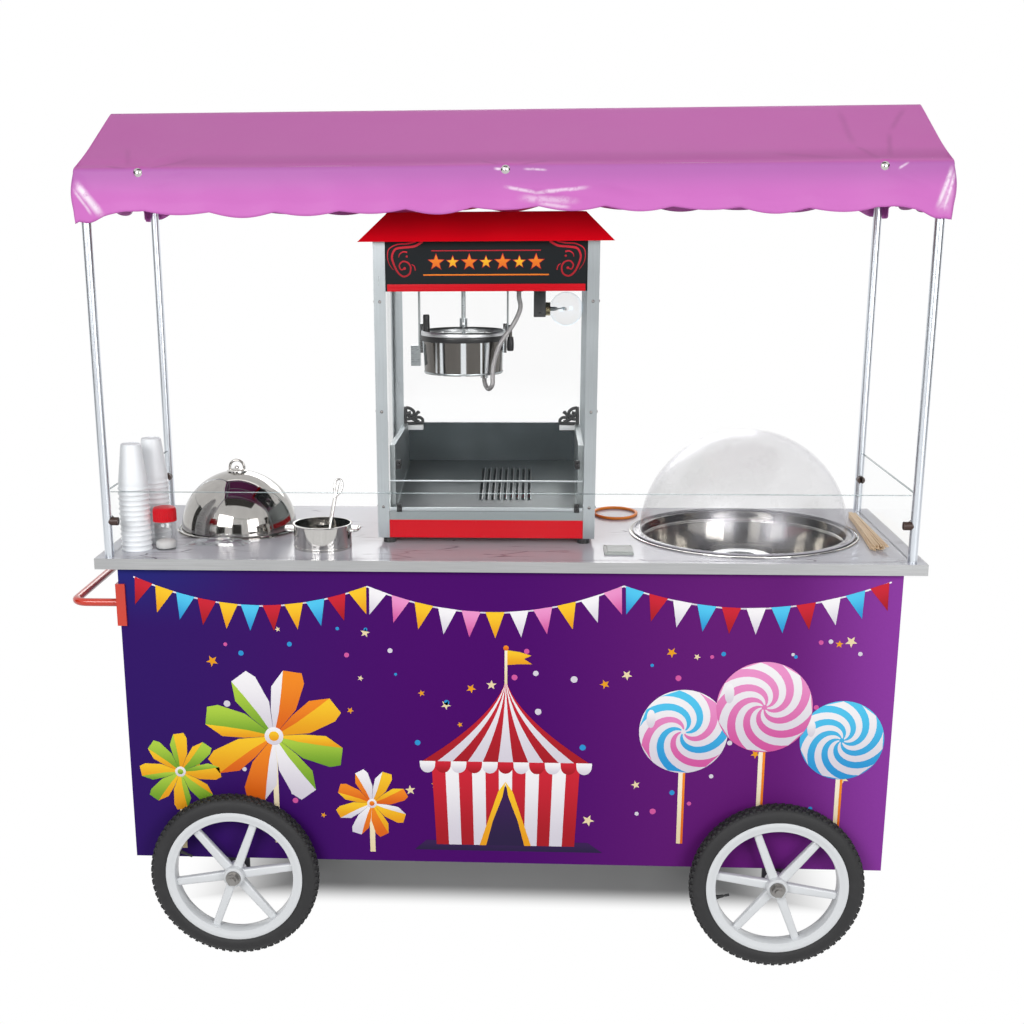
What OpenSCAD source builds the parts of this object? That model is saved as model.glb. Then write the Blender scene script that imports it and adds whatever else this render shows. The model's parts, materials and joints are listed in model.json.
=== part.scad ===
// Street cart for cotton candy, popcorn and cup corn: a wheeled cabinet with a counter,
// a glass guard, a gable canopy on four posts, and three food machines.
// Lengths are in millimetres. The front faces -Y and the floor is at zero height.

/* [Counter] */
// Width of the counter
counter_w = 1800; // [1760:10:2000]
// Depth of the counter
counter_d = 600; // [598:2:640]
// Height of the counter's top face above the floor
counter_h = 935; // [900:5:1000]
// Thickness of the counter board
counter_t = 18; // [14:1:22]
// Height of the metal edge profile
edge_h = 24; // [22:1:30]
// Wall of the metal edge profile
edge_t = 3; // [2:0.5:5]

/* [Cabinet] */
// Overhang of the counter past each end of the cabinet
side_overhang = 45; // [40:1:60]
// Overhang of the counter past the front and the back of the cabinet
front_overhang = 20; // [15:1:24]
// Height of the cabinet's underside above the floor
body_bottom = 218; // [210:1:240]
// Thickness of the sheet panels
panel_t = 4; // [2:0.5:5]
// Outer size of the square frame tubes
tube_s = 25; // [24:0.5:26]
// Wall of the square frame tubes
tube_wall = 2; // [1.5:0.5:3]
// Height of the strip above the rear doors
fascia_h = 97; // [90:1:110]
// Thickness of the sliding doors
door_t = 6; // [5:0.5:6.5]
// Overlap of the two sliding doors
door_lap = 60; // [40:5:100]

/* [Wheels] */
// Outer radius of the tyres
wheel_r = 195; // [190:1:202]
// Width of the tyres
tyre_w = 45; // [42:1:48]
// Distance of the axles from the ends of the cabinet
wheel_inset = 239; // [220:1:300]
// Distance of the wheels' middle plane from the panel beside them
wheel_offset = 38; // [36:1:46]
// Radius of the wheel hubs
hub_r = 24; // [21:1:30]
// Length of the wheel hubs
hub_len = 48; // [40:1:52]
// Number of spokes
spoke_count = 6; // [5:1:8]
// Radius of the axles
axle_r = 8; // [6:0.5:9]

/* [Canopy] */
// Radius of the canopy posts
post_r = 10; // [9:0.5:12]
// Distance of the posts from the ends of the counter
post_inset_x = 30; // [28:1:40]
// Distance of the posts from the front and the back of the counter
post_inset_y = 20; // [18:1:30]
// Height of the eaves above the counter
eave_rise = 819; // [810:1:965]
// Rise of the ridge above the eaves
ridge_rise = 127; // [90:1:180]
// Height of the hanging valance
valance_h = 84; // [60:1:110]
// Depth of the valance's scallops
scallop_h = 12; // [6:1:20]
// Number of scallops along the front
front_scallops = 13; // [9:1:17]
// Number of scallops along each end
side_scallops = 4; // [3:1:6]
// Thickness of the canopy sheet
sheet_t = 2; // [1.5:0.5:3]
// Radius of the canopy's frame tubes
rail_r = 10; // [8:0.5:11]

/* [Guard and handle] */
// Height of the glass guards above the counter
guard_h = 145; // [120:1:200]
// Thickness of the guard glass
guard_t = 5; // [4:0.5:6]
// Reach of the push handle's bar from the end of the cabinet
handle_reach = 111; // [90:1:150]
// Drop of the push handle below the counter
handle_drop = 109; // [85:1:175]
// Radius of the push handle's tube
handle_r = 9; // [8:0.5:12]
// Bend radius of the push handle at the middle of its tube
handle_bend = 32; // [24:1:45]

/* [Popcorn machine] */
// Place of the popcorn machine along the counter, from its middle
popper_x = -45; // [-80:1:-30]
// Place of the popcorn machine across the counter, from its middle
popper_y = 70; // [50:1:74]
// Width of the popcorn machine
popper_w = 490; // [470:1:510]
// Depth of the popcorn machine
popper_d = 400; // [380:1:410]
// Height of the popcorn machine's feet
foot_h = 14; // [10:1:20]
// Height of the popcorn machine's base
base_h = 41; // [36:1:50]
// Height of the metal ledge round the floor tray
ledge_h = 20; // [12:1:24]
// Height of the glazed cabin
cabin_h = 487; // [470:1:500]
// Height of the head with the sign panels
head_h = 106; // [96:1:112]
// Overhang of the roof past the head
roof_over = 30; // [15:1:34]
// Height of the roof
roof_h = 60; // [50:1:80]
// Radius of the kettle
kettle_r = 96; // [88:1:100]
// Height of the kettle
kettle_h = 86; // [80:1:100]
// Drop of the kettle's tilt axis below the head
kettle_drop = 92; // [92:1:120]

/* [Candy machine] */
// Distance of the candy bowl's middle from the right end of the counter
bowl_from_end = 350; // [348:1:380]
// Place of the candy bowl across the counter, from its middle
bowl_y = 10; // [-5:1:12]
// Radius of the candy bowl inside its flange
bowl_r = 236; // [220:1:238]
// Radius of the candy bowl's flange
bowl_flange_r = 262; // [254:1:264]
// Depth of the candy bowl
bowl_depth = 180; // [160:1:200]
// Wall of the candy bowl
bowl_wall = 2; // [1.5:0.5:3]
// Radius of the spinner head
spinner_r = 70; // [60:1:80]
// Distance between the spinner's and the motor's shafts
belt_centres = 150; // [130:1:170]

/* [Corn cooker] */
// Distance of the corn cooker's middle from the left end of the counter
well_from_end = 259; // [250:1:280]
// Place of the corn cooker across the counter, from its middle
well_y = 25; // [0:1:40]
// Radius of the corn cooker's well
well_r = 124; // [110:1:128]
// Depth of the corn cooker's well
well_depth = 160; // [120:1:200]
// Outer radius of the domed lid
corn_lid_r = 137; // [132:1:141]

/* [Hidden] */
$fn = 64;

// Overrun of every cut past the face that it opens
cut = 1;
// Gap between pieces that touch on the real cart
seat = 0.2;
// Gap round a piece that slides or lifts
slack = 0.4;
// Radial clearance of a shaft that turns in its hole
run = 0.05;
// Depth by which joined shapes of one piece reach into each other
bite = 2;

// Cabinet and counter, worked out
body_w = counter_w - 2 * side_overhang;
body_d = counter_d - 2 * front_overhang;
board_bottom = counter_h - counter_t;
frame_x = body_w / 2 - panel_t;
frame_y = body_d / 2 - panel_t;
floor_z = body_bottom + tube_s;
door_top = board_bottom - fascia_h;
// Height of the strip below the rear doors
kick_h = 34;
// Height of the door tracks
track_h = 12;
// Thickness of the door tracks' base
track_base = 3;
// Radius of the finger holes in the doors
finger_r = 15;
// Distance of the finger holes from the door's end
finger_inset = 60;
track_groove = door_t + 2 * slack;
track_lip = (tube_s - 2 * track_groove) / 3;
opening_w = 2 * (frame_x - tube_s);
door_w = opening_w / 2 + door_lap / 2;

// Width of the axle lugs
lug_w = 50;
// Thickness of the axle lugs
lug_t = 10;
// Height of the lug's metal left below the axle
lug_under = 26;
wheel_x = body_w / 2 - wheel_inset;
wheel_y = body_d / 2 + wheel_offset;

// Heat knob on the rear strip
// Radius of the knob
knob_r = 20;
// Height of the knob
knob_h = 18;
// Radius of the knob's spindle
spindle_r = 4;
// Length of the spindle behind the strip
spindle_tail = 14;
// Height of the knob's pointer
pointer_h = 3;
// Width of the knob's pointer
pointer_w = 5;
// Distance of the knob from the bowl's edge
knob_gap = 60;

// Wheels, worked out
// Radius of the rim's inner face
rim_in = 136;
// Depth of the rim's ring
rim_depth = 14;
// Half width of the rim
rim_half = 19;
// Height of the rim's flanges above its ring
rim_flange = 8;
// Thickness of the rim's flanges
rim_flange_t = 3;
// Width of a spoke at the hub
spoke_hub_w = 22;
// Width of a spoke at the rim
spoke_rim_w = 18;
// Thickness of a spoke
spoke_t = 16;
// Wall of the tyres
tyre_wall = 4;
// Half width of the tyre's open inner side
tyre_mouth = 8;
// Radius of the valve stem
valve_r = 4;
// Length of the valve stem
valve_len = 30;
// Width of the axle nuts across their corners
nut_corners = 28;
// Height of the axle nuts
nut_h = 11;
// Radius of the nuts' washers
washer_r = 17;
// Thickness of the nuts' washers
washer_t = 3;
// Length of axle past its nut
axle_tail = 5;
// Wall of the axle spacers
spacer_wall = 5;
rim_r = wheel_r - tyre_w + seat;
rim_ring_in = rim_r - rim_depth;
axle_half = wheel_y + hub_len / 2 + slack + washer_t + nut_h + axle_tail;
// Turn of the spokes on the left and right wheels, in degrees
spoke_turns = [9, -9];
// Turn of the valves on the left and right wheels, in degrees
valve_turns = [157, 194];
corner_names = ["front_left", "front_right", "rear_left", "rear_right"];
// Side of each corner along X and along Y
corner_sides = [[-1, -1], [1, -1], [-1, 1], [1, 1]];

// Canopy, worked out
handle_z = counter_h - handle_drop;
post_x = counter_w / 2 - post_inset_x;
post_y = counter_d / 2 - post_inset_y;
sheet_gap = max(post_r, rail_r) + seat + sheet_t;
canopy_w = 2 * (post_x + sheet_gap);
canopy_d = 2 * (post_y + sheet_gap);
eave_h = counter_h + eave_rise;
ridge_h = eave_h + ridge_rise;
slope = atan(2 * ridge_rise / canopy_d);
sheet_drop = sheet_t / cos(slope);
rail_z = eave_h + sheet_gap * tan(slope) - sheet_gap / cos(slope);
ridge_z = ridge_h - sheet_gap / cos(slope);
// Steps of the outline along one scallop
scallop_steps = 8;
// Number of canopy studs along each long side
stud_count = 3;
// Radius of the canopy studs
stud_r = 9;
// Height of the canopy studs
stud_h = 4;
// Distance of the end studs from the canopy's ends
stud_inset = 130;
// Wall of the posts at their upper ends
post_wall = 2;
// Length of the spigots in the posts' upper ends
spigot_h = 45;

// Guards and handle, worked out
// Gap between a guard's end and the post beside it
guard_gap = 1.5;
// Radius of the guard clamps
clamp_r = 9;
// Length of the guard clamps
clamp_len = 15;
// Height of the guard clamps above the counter
clamp_z = 80;
// Width of the handle brackets on the front panel
bracket_w = 21;
// Length of the handle brackets along the end panel
bracket_d = 46;
// Height of the handle brackets
bracket_h = 96;
// Thickness of the handle brackets
bracket_t = 6;
// Distance of the handle's legs from the front and back panels
handle_leg_inset = 17;
handle_leg_y = body_d / 2 - handle_leg_inset;
bar_x = body_w / 2 + handle_reach;
cart_shift = (bar_x + handle_r - counter_w / 2) / 2;

// Popcorn machine, worked out, with heights from the counter
ledge_z = foot_h + base_h + ledge_h;
head_z = ledge_z + cabin_h;
roof_z = head_z + head_h;
// Radius of the feet
foot_r = 14;
// Distance of the feet from the sides
foot_inset = 24;
// Wall of the base, the tray and the head
sheet_wall = 3;
// Width of the corner profiles
corner_leg = 26;
// Wall of the corner profiles
corner_t = 3;
// Thickness of the panes
pane_t = 4;
// Height of the back panel on the tray
back_h = 147;
// Thickness of the back panel on the tray
back_t = 12;
// Rise of the sieve floor from its front edge to its rear edge
sieve_rise = 49;
// Lap of the sieve floor on the tray's front rim
sieve_lap = 6;
// Number of crumb slots
slot_count = 9;
// Length of a crumb slot
slot_l = 240;
// Width of a crumb slot
slot_w = 6;
// Spacing of the crumb slots
slot_step = 14;
// Place of the row of slots from the machine's middle
slot_row_x = 40;
// Width of the crumb drawer
drawer_w = 300;
// Depth of the crumb drawer
drawer_d = 350;
// Height of the crumb drawer
drawer_h = 26;
// Height of the drawer's front plate past the drawer
drawer_lip = 4;
// Width of the drawer's pull
pull_w = 90;
// Reach of the drawer's pull
pull_d = 14;
// Thickness of the drawer's pull
pull_t = 4;
// Radius of the doors' pivot pins
pivot_r = 3;
// Depth of the doors' pivot pins
pivot_len = 8;
// Distance of the pivots from the doors' outer edges
pivot_inset = 11;
// Gap round the doors
door_gap = 1;
// Run of the roof's slope over its height
roof_run_share = 1;
popper_half_w = popper_w / 2;
popper_half_d = popper_d / 2;
head_w = popper_w - 2 * (corner_t + seat);
head_d = popper_d - 2 * (corner_t + seat);
pivot_y = popper_half_d - corner_t - seat - back_t / 2;
glass_door_w = popper_half_w - corner_leg - 2 * door_gap;
pivot_x = popper_half_w - corner_leg - door_gap - pivot_inset;

// Kettle, worked out, with heights from its tilt axis
// Place of the kettle from the machine's middle
kettle_x = -59;
// Drop of the kettle's rim below its tilt axis
rim_drop = 18;
// Draw-in of the kettle's bottom
kettle_taper = 5;
// Wall of the kettle
kettle_wall = 2;
// Width of the bridge across the kettle
bridge_w = 20;
// Width of the kettle's ears
ear_w = 20;
// Thickness of the kettle's ears
ear_t = 4;
// Length of the kettle's ears below and above the axis
ear_down = 58;
ear_up = 9;
// Radius of the kettle's trunnion pins
trunnion_r = 5;
// Thickness of the hanger arms
arm_t = 4;
// Width of the hanger arms
arm_w = 22;
// Reach of the left hanger arm below the axis
arm_down = 88;
// Size of the latch box on the left hanger arm
latch_w = 18;
latch_h = 47;
// Radius of the crank rod
crank_r = 4;
// Length of the crank rod
crank_len = 50;
// Radius of the black grips
grip_r = 7;
// Length of the black grips
grip_len = 30;
// Radius of the lid's hinge rod
hinge_rod_r = 2;
// Thickness of the lid
lid_t = 1.6;
// Place and thickness of the lid's hinge lugs
hinge_lug_x = 50;
hinge_lug_t = 5;
// Radius of the stirrer's stem
stem_r = 4;
// Radius of the boss round the stem
stem_boss_r = 10;
// Height of the boss round the stem
stem_boss_h = 5;
// Half sizes and reach of the blade on top of the stem
blade_half_x = 2;
blade_half_y = 8;
blade_up = 6;
blade_down = 12;
// Width and thickness of the stirrer's arm
stir_arm_w = 12;
stir_arm_t = 5;
// Gap between the stirrer's arm and the kettle
stir_gap = 1;
// Radius of the drive shaft
shaft_r = 5;
// Radius and height of the fork on the drive shaft
fork_r = 9;
fork_h = 20;
// Gap of the fork round the blade
fork_gap = 0.6;
// Radius and height of the thrust collar on the drive shaft
collar_r = 18;
collar_h = 9;
// Length of the drive shaft inside the motor
shaft_grip = 24;
// Size of the stirrer motor
motor_w = 84;
motor_d = 70;
motor_h = 64;
// Radius and height of the lead's glands
gland_r = 9;
gland_h = 8;
// Place of the lead's gland under the kettle, from the kettle's middle
kettle_gland = [50, -38];
// Place of the lead's gland under the head, from the machine's middle
head_gland = [70, -60];
// Radius of the lead
lead_r = 5.25;
// Number of sides of the lead
lead_sides = 10;
// Number of steps between two points of the lead's route
lead_steps = 2;
arm_in = kettle_r + ear_t + slack;
arm_out = arm_in + arm_t;
crank_x = arm_out + slack + crank_r;
axis_z = head_z - kettle_drop;
kettle_floor = -rim_drop - kettle_h;
hinge_y = bridge_w / 2 + hinge_rod_r + bite;
hinge_z = -rim_drop + seat + hinge_rod_r;
// Route of the lead between its glands, from the machine's middle at the height of the tilt axis
lead_route = [
    [70, -60, 70], [73, -62, 46], [58, -66, 12], [28, -71, -32], [14, -73, -76], [11, -73, -102], [11, -73, -119],
    [9, -70, -128], [3, -61, -135], [-2, -50, -135], [-7, -41, -128], [-9, -38, -119]
];
lead_top = [head_gland[0], head_gland[1], kettle_drop - gland_h - seat];
lead_bottom = [kettle_x + kettle_gland[0], kettle_gland[1], kettle_floor - gland_h - seat];
// Lamp under the head
// Place of the lamp holder from the machine's middle
lamp_x = 117;
lamp_y = 30;
// Width of the lamp holder
holder_w = 28;
// Height of the lamp holder
holder_h = 71;
// Radius of the lamp
lamp_r = 39;
// Length of the lamp's neck
lamp_neck = 8;
// Radius of the lamp's neck
lamp_neck_r = 14;
// Drop of the lamp's axis below the head
lamp_drop = 53;

// Candy machine, worked out, with heights from the counter
bowl_x = counter_w / 2 - bowl_from_end;
// Thickness of the bowl's flange
bowl_flange_t = 3;
// Draw-in of the bowl's bottom
bowl_taper = 30;
// Height of the bowl's straight neck
bowl_neck = 24;
// Clearance of the counter's round cut-outs
cutout_gap = 3;
// Radius of the dome outside
dome_r = 238;
// Wall of the dome
dome_wall = 3;
// Radius of the dome's flange
dome_flange_r = 252;
// Height of the spinner head
spinner_h = 55;
// Drop of the spinner head's top below the counter
spinner_drop = 55;
// Wall of the spinner head
spinner_wall = 3;
// Number of slots in the spinner head
spinner_slots = 16;
// Width of the slots in the spinner head
spinner_slot_w = 3;
// Height of the slots in the spinner head
spinner_slot_h = 30;
// Radius of the spinner's shaft
spin_shaft_r = 8;
// Radius of the spinner's pulley
big_pulley_r = 40;
// Radius of the motor's pulley
small_pulley_r = 25;
// Height of the belt's track
pulley_h = 16;
// Height and thickness of the pulleys' flanges
pulley_flange = 4;
pulley_flange_t = 2;
// Thickness of the belt
belt_t = 3;
// Height of the belt
belt_h = 14;
// Steps of the belt's outline round each pulley
belt_steps = 24;
// Radius and thickness of the housing's flange
housing_r = 80;
housing_t = 6;
// Height of the room for the pulleys
housing_room = 59;
// Radius of the housing's posts, and of the circle that they stand on
housing_post_r = 6;
housing_post_ring = 65;
// Turns of the housing's posts, in degrees
housing_post_turns = [0, 75, 285];
// Radius and length of the lower bearing
bearing_r = 20;
bearing_len = 40;
// Radius and height of the spin motor
spin_motor_r = 55;
spin_motor_h = 120;
// Radius of the motor's shaft
motor_shaft_r = 7;
// Length of the motor's shaft in its bearing
motor_shaft_grip = 30;
// Clearance round the motor's shaft in the plate
plate_hole_gap = 5;
housing_top = -bowl_depth;
plate_top = housing_top - housing_t - housing_room;
plate_bottom = plate_top - housing_t;
pulley_z = plate_top + (housing_room - pulley_h) / 2;

// Corn cooker, worked out, with heights from the counter
well_x = well_from_end - counter_w / 2;
// Radius and thickness of the well's flange
well_flange_r = 147;
well_flange_t = 2.5;
// Wall of the well
well_wall = 2;
// Wall of the lid
corn_lid_wall = 2;
// Reach and thickness of the lid's lip
lid_lip = 5;
lid_lip_t = 3;
// Radius of the loop on the lid, and of its wire
loop_r = 17;
loop_wire_r = 3;
// Height of the loop's straight legs
loop_leg = 8;

// Things on the counter
// Places of the cup stacks from the left end and the middle of the counter
cup_places = [[71, -203], [95, -120]];
// Radius of a cup's rim and of its bottom
cup_r = 33;
cup_bottom_r = 22;
// Height of one cup
cup_h = 90;
// Number of rims below the last cup
cup_rims = 13;
// Spacing, height and reach of the rims
cup_step = 11.5;
cup_rim_h = 4;
cup_rim_out = 1.5;
// Place of the shaker from the left end and the middle of the counter
shaker_place = [136, -195];
// Radius and height of the shaker's jar
jar_r = 25;
jar_h = 64;
// Radius and height of the shaker's cap
cap_r = 26.5;
cap_h = 32;
// Wall of the shaker's jar
jar_wall = 2.5;
// Place of the serving pot from the left end and the middle of the counter
pot_place = [488, -165];
// Radius, height and wall of the serving pot
pot_r = 65;
pot_h = 55;
pot_wall = 2;
// Length, width and thickness of the pot's lugs
pot_lug_l = 14;
pot_lug_w = 34;
pot_lug_t = 3;
// Drop of the lugs below the pot's rim
pot_lug_drop = 12;
// Radius of the ladle's bowl
ladle_r = 26;
// Wall of the ladle's bowl
ladle_wall = 1.5;
// Radius and length of the ladle's handle
ladle_rod_r = 3;
ladle_rod_l = 118;
// Lean of the ladle's handle, in degrees
ladle_lean = 22;
// Turn of the ladle's handle, in degrees
ladle_turn = 65;
// Radius and length of a stick
stick_r = 3;
stick_l = 370;
// Number of sticks side by side, and of layers
stick_cols = 5;
stick_layers = 2;
// Gap between sticks
stick_gap = 0.5;
// Place of the bundle from the right end and the middle of the counter
stick_place = [68, 12];
// Turn of the bundle, in degrees
stick_turn = -2.5;

// Moves the cart so that its box is centred over the origin
module placed() {
    translate([cart_shift, 0, 0]) children();
}

// Turns what stands along Z to run along X, or along Y
module along_x() {
    rotate([0, 90, 0]) children();
}

module along_y() {
    rotate([-90, 0, 0]) children();
}

// Block centred over the origin in X and Y, standing on zero height
module block(w, d, h) {
    translate([-w / 2, -d / 2, 0]) cube([w, d, h]);
}

// Square tube along Z
module square_tube(len) {
    difference() {
        block(tube_s, tube_s, len);
        translate([0, 0, -cut])
            block(tube_s - 2 * tube_wall, tube_s - 2 * tube_wall, len + 2 * cut);
    }
}

// Square tube along X or Y, centred on its place
module tube_x(len) {
    translate([-len / 2, 0, 0]) along_x() square_tube(len);
}

module tube_y(len) {
    translate([0, -len / 2, 0]) along_y() square_tube(len);
}

// Frame of the cabinet: tubes butted together, with the lugs that hold the axles
module cart_frame() {
    rail_y = frame_y - tube_s / 2;
    end_x = frame_x - tube_s / 2;
    cross_l = 2 * (frame_y - tube_s - seat);
    post_z = floor_z + seat;
    post_l = board_bottom - body_bottom - 2 * (tube_s + seat);
    popper_rails = [popper_x - popper_w / 2 + foot_inset, popper_x + popper_w / 2 - foot_inset];
    color("dimgray") {
        for (y = [-rail_y, rail_y]) {
            for (z = [body_bottom + tube_s / 2, board_bottom - tube_s / 2])
                translate([0, y, z]) tube_x(2 * frame_x);
            for (x = [-end_x, end_x])
                translate([x, y, post_z]) square_tube(post_l);
        }
        translate([0, -rail_y, post_z]) square_tube(post_l);
        translate([0, rail_y, door_top + tube_s / 2]) tube_x(opening_w - 2 * seat);
        for (x = [-end_x, -wheel_x, 0, wheel_x, end_x])
            translate([x, 0, body_bottom + tube_s / 2]) tube_y(cross_l);
        for (x = concat([-end_x, end_x], popper_rails))
            translate([x, 0, board_bottom - tube_s / 2]) tube_y(cross_l);
        for (side = corner_sides)
            translate([side[0] * wheel_x, side[1] * (frame_y - lug_t / 2), 0]) axle_lug();
    }
}

module axle_lug() {
    difference() {
        translate([0, 0, wheel_r - lug_under])
            block(lug_w, lug_t, body_bottom - seat - wheel_r + lug_under);
        translate([0, -lug_t / 2 - cut, wheel_r])
            along_y() cylinder(r = axle_r + run, h = lug_t + 2 * cut);
    }
}

module cabinet_floor() {
    color("gainsboro")
        translate([0, 0, floor_z])
            block(2 * (frame_x - tube_s - seat), 2 * (frame_y - tube_s - seat), panel_t);
}

module front_panel() {
    color("indigo")
        translate([0, -(body_d - panel_t) / 2, body_bottom])
            block(body_w, panel_t, board_bottom - body_bottom);
}

// End panels, and the strips above and below the rear doors
module cabinet_panels() {
    color("purple") {
        for (side = [-1, 1])
            translate([side * (body_w - panel_t) / 2, panel_t / 2, body_bottom])
                block(panel_t, body_d - panel_t, board_bottom - body_bottom);
        translate([0, (body_d - panel_t) / 2, body_bottom])
            block(2 * (frame_x - seat), panel_t, kick_h);
        difference() {
            translate([0, (body_d - panel_t) / 2, door_top])
                block(2 * (frame_x - seat), panel_t, fascia_h);
            at_knob() translate([0, 0, -panel_t - cut])
                cylinder(r = spindle_r + run, h = panel_t + 2 * cut);
        }
    }
}

// Frame of the heat knob: Z points out of the rear strip
module at_knob() {
    gap_middle = (door_top + tube_s + board_bottom - tube_s) / 2;
    translate([bowl_x - bowl_r - knob_gap, body_d / 2, gap_middle])
        along_y() children();
}

module heat_knob() {
    color("black") at_knob() {
        translate([0, 0, slack]) cylinder(r = knob_r, h = knob_h);
        translate([0, 0, -panel_t - spindle_tail])
            cylinder(r = spindle_r, h = panel_t + spindle_tail + slack + bite);
        translate([0, 0, slack + knob_h - bite])
            translate([-pointer_w / 2, -knob_r + pointer_h, 0])
                cube([pointer_w, knob_r, pointer_h + bite]);
    }
}

// One double track, standing on zero height with its grooves open upwards
module track() {
    difference() {
        block(opening_w, tube_s, track_h);
        for (i = [0, 1])
            translate([0, groove_y(i), track_base])
                block(opening_w + 2 * cut, track_groove, track_h);
    }
}

// Middle of the inner and of the outer groove, from the middle of the track
function groove_y(i) = (i - 0.5) * (track_groove + track_lip);

module door_tracks() {
    color("silver") {
        translate([0, frame_y - tube_s / 2, floor_z]) track();
        translate([0, frame_y - tube_s / 2, door_top]) mirror([0, 0, 1]) track();
    }
}

// Sliding door with a finger hole; side is -1 for the left and 1 for the right one
module sliding_door(side, groove) {
    low = floor_z + track_base + seat;
    high = door_top - track_base - seat;
    middle = side * (opening_w - door_w) / 2;
    translate([middle, frame_y - tube_s / 2 + groove_y(groove), low])
        difference() {
            block(door_w - 2 * slack, door_t, high - low);
            translate([side * (door_w / 2 - finger_inset), -door_t / 2 - cut, (high - low) / 2])
                along_y() cylinder(r = finger_r, h = door_t + 2 * cut);
        }
}

module left_door() {
    color("mediumpurple") sliding_door(-1, 1);
}

module right_door() {
    color("mediumpurple") sliding_door(1, 0);
}

module countertop() {
    color("lavender") difference() {
        translate([0, 0, board_bottom])
            block(counter_w - 2 * edge_t, counter_d - 2 * edge_t, counter_t);
        translate([bowl_x, bowl_y, board_bottom - cut])
            cylinder(r = bowl_r + cutout_gap, h = counter_t + 2 * cut);
        translate([well_x, well_y, board_bottom - cut])
            cylinder(r = well_r + cutout_gap, h = counter_t + 2 * cut);
    }
}

module counter_edge() {
    color("silver") difference() {
        translate([0, 0, counter_h - edge_h])
            block(counter_w, counter_d, edge_h);
        translate([0, 0, counter_h - edge_h - cut])
            block(counter_w - 2 * edge_t, counter_d - 2 * edge_t, edge_h + 2 * cut);
    }
}

module canopy_posts() {
    post_l = rail_z - rail_r - seat - counter_h;
    color("silver")
        for (side = corner_sides)
            translate([side[0] * post_x, side[1] * post_y, counter_h]) difference() {
                cylinder(r = post_r, h = post_l);
                translate([0, 0, post_l - spigot_h - slack])
                    cylinder(r = post_r - post_wall, h = spigot_h + slack + cut);
            }
}

// Tube frame under the canopy: eave rails with spigots for the posts, ridge and rafters
module canopy_frame() {
    rafter_l = norm([post_y, ridge_z - rail_z]) - 2 * (rail_r + seat);
    rafter_x = post_x - 2 * rail_r - bite;
    end_l = 2 * (post_y - rail_r - seat);
    color("silver") {
        for (y = [-post_y, post_y])
            translate([-post_x - rail_r, y, rail_z])
                along_x() cylinder(r = rail_r, h = 2 * (post_x + rail_r));
        for (x = [-post_x, post_x])
            translate([x, -end_l / 2, rail_z]) along_y() cylinder(r = rail_r, h = end_l);
        translate([-post_x - rail_r, 0, ridge_z])
            along_x() cylinder(r = rail_r, h = 2 * (post_x + rail_r));
        for (x = [-rafter_x, 0, rafter_x], side = [0, 1])
            translate([x, 0, ridge_z])
                rotate([0, 0, side * 180]) rotate([slope, 0, 0])
                    translate([0, -rail_r - seat - rafter_l, 0])
                        along_y() cylinder(r = rail_r, h = rafter_l);
        for (side = corner_sides)
            translate([side[0] * post_x, side[1] * post_y, rail_z - rail_r - seat - spigot_h])
                cylinder(r = post_r - post_wall - seat, h = spigot_h + seat + rail_r);
    }
}

// Points of a scalloped edge from one end of a width to the other
function scallops(count, width) = [
    for (i = [0 : count * scallop_steps])
        [width * (i / (count * scallop_steps) - 1 / 2),
         eave_h - valance_h - scallop_h * abs(sin(180 * i / scallop_steps))]
];

// Gable canopy: two slopes, two closed ends and a scalloped valance all round
module canopy_cover() {
    half_d = canopy_d / 2;
    color("orchid") {
        rotate([90, 0, 90]) translate([0, 0, -canopy_w / 2]) linear_extrude(canopy_w)
            polygon([
                [-half_d, eave_h], [0, ridge_h], [half_d, eave_h],
                [half_d, eave_h - sheet_drop], [0, ridge_h - sheet_drop], [-half_d, eave_h - sheet_drop]
            ]);
        for (x = [-canopy_w / 2, canopy_w / 2 - sheet_t])
            rotate([90, 0, 90]) translate([0, 0, x]) linear_extrude(sheet_t)
                polygon(concat(scallops(side_scallops, canopy_d), [[half_d, eave_h], [0, ridge_h], [-half_d, eave_h]]));
        for (y = [-half_d, half_d - sheet_t])
            translate([0, y + sheet_t, 0]) rotate([90, 0, 0]) linear_extrude(sheet_t)
                polygon(concat(
                    scallops(front_scallops, canopy_w),
                    [[canopy_w / 2, eave_h], [-canopy_w / 2, eave_h]]
                ));
    }
}

module canopy_studs() {
    stud_step = (canopy_w - 2 * stud_inset) / (stud_count - 1);
    color("silver")
        for (side = [0, 180], i = [0 : stud_count - 1])
            rotate([0, 0, side])
                translate([stud_inset - canopy_w / 2 + i * stud_step, -canopy_d / 2 - seat, rail_z])
                    rotate([90, 0, 0]) stud();
}

module stud() {
    ball_r = (stud_r * stud_r + stud_h * stud_h) / (2 * stud_h);
    rotate_extrude() intersection() {
        translate([0, stud_h - ball_r]) circle(r = ball_r);
        square([stud_r, stud_h]);
    }
}

module glass_guards() {
    front_l = 2 * (post_x - post_r - guard_gap);
    side_l = 2 * (post_y - post_r - guard_gap);
    color("azure", 0.4) {
        translate([0, -post_y, counter_h]) block(front_l, guard_t, guard_h);
        for (x = [-post_x, post_x])
            translate([x, 0, counter_h]) block(guard_t, side_l, guard_h);
    }
}

// Round clamps on the posts, slotted over the ends of the glass
module glass_clamps() {
    color("saddlebrown")
        for (side = corner_sides) {
            translate([side[0] * post_x, side[1] * post_y, counter_h + clamp_z])
                rotate([0, 0, side[1] > 0 ? -90 : 90]) guard_clamp();
            if (side[1] < 0)
                translate([side[0] * post_x, side[1] * post_y, counter_h + clamp_z])
                    rotate([0, 0, side[0] > 0 ? 180 : 0]) guard_clamp();
        }
}

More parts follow.
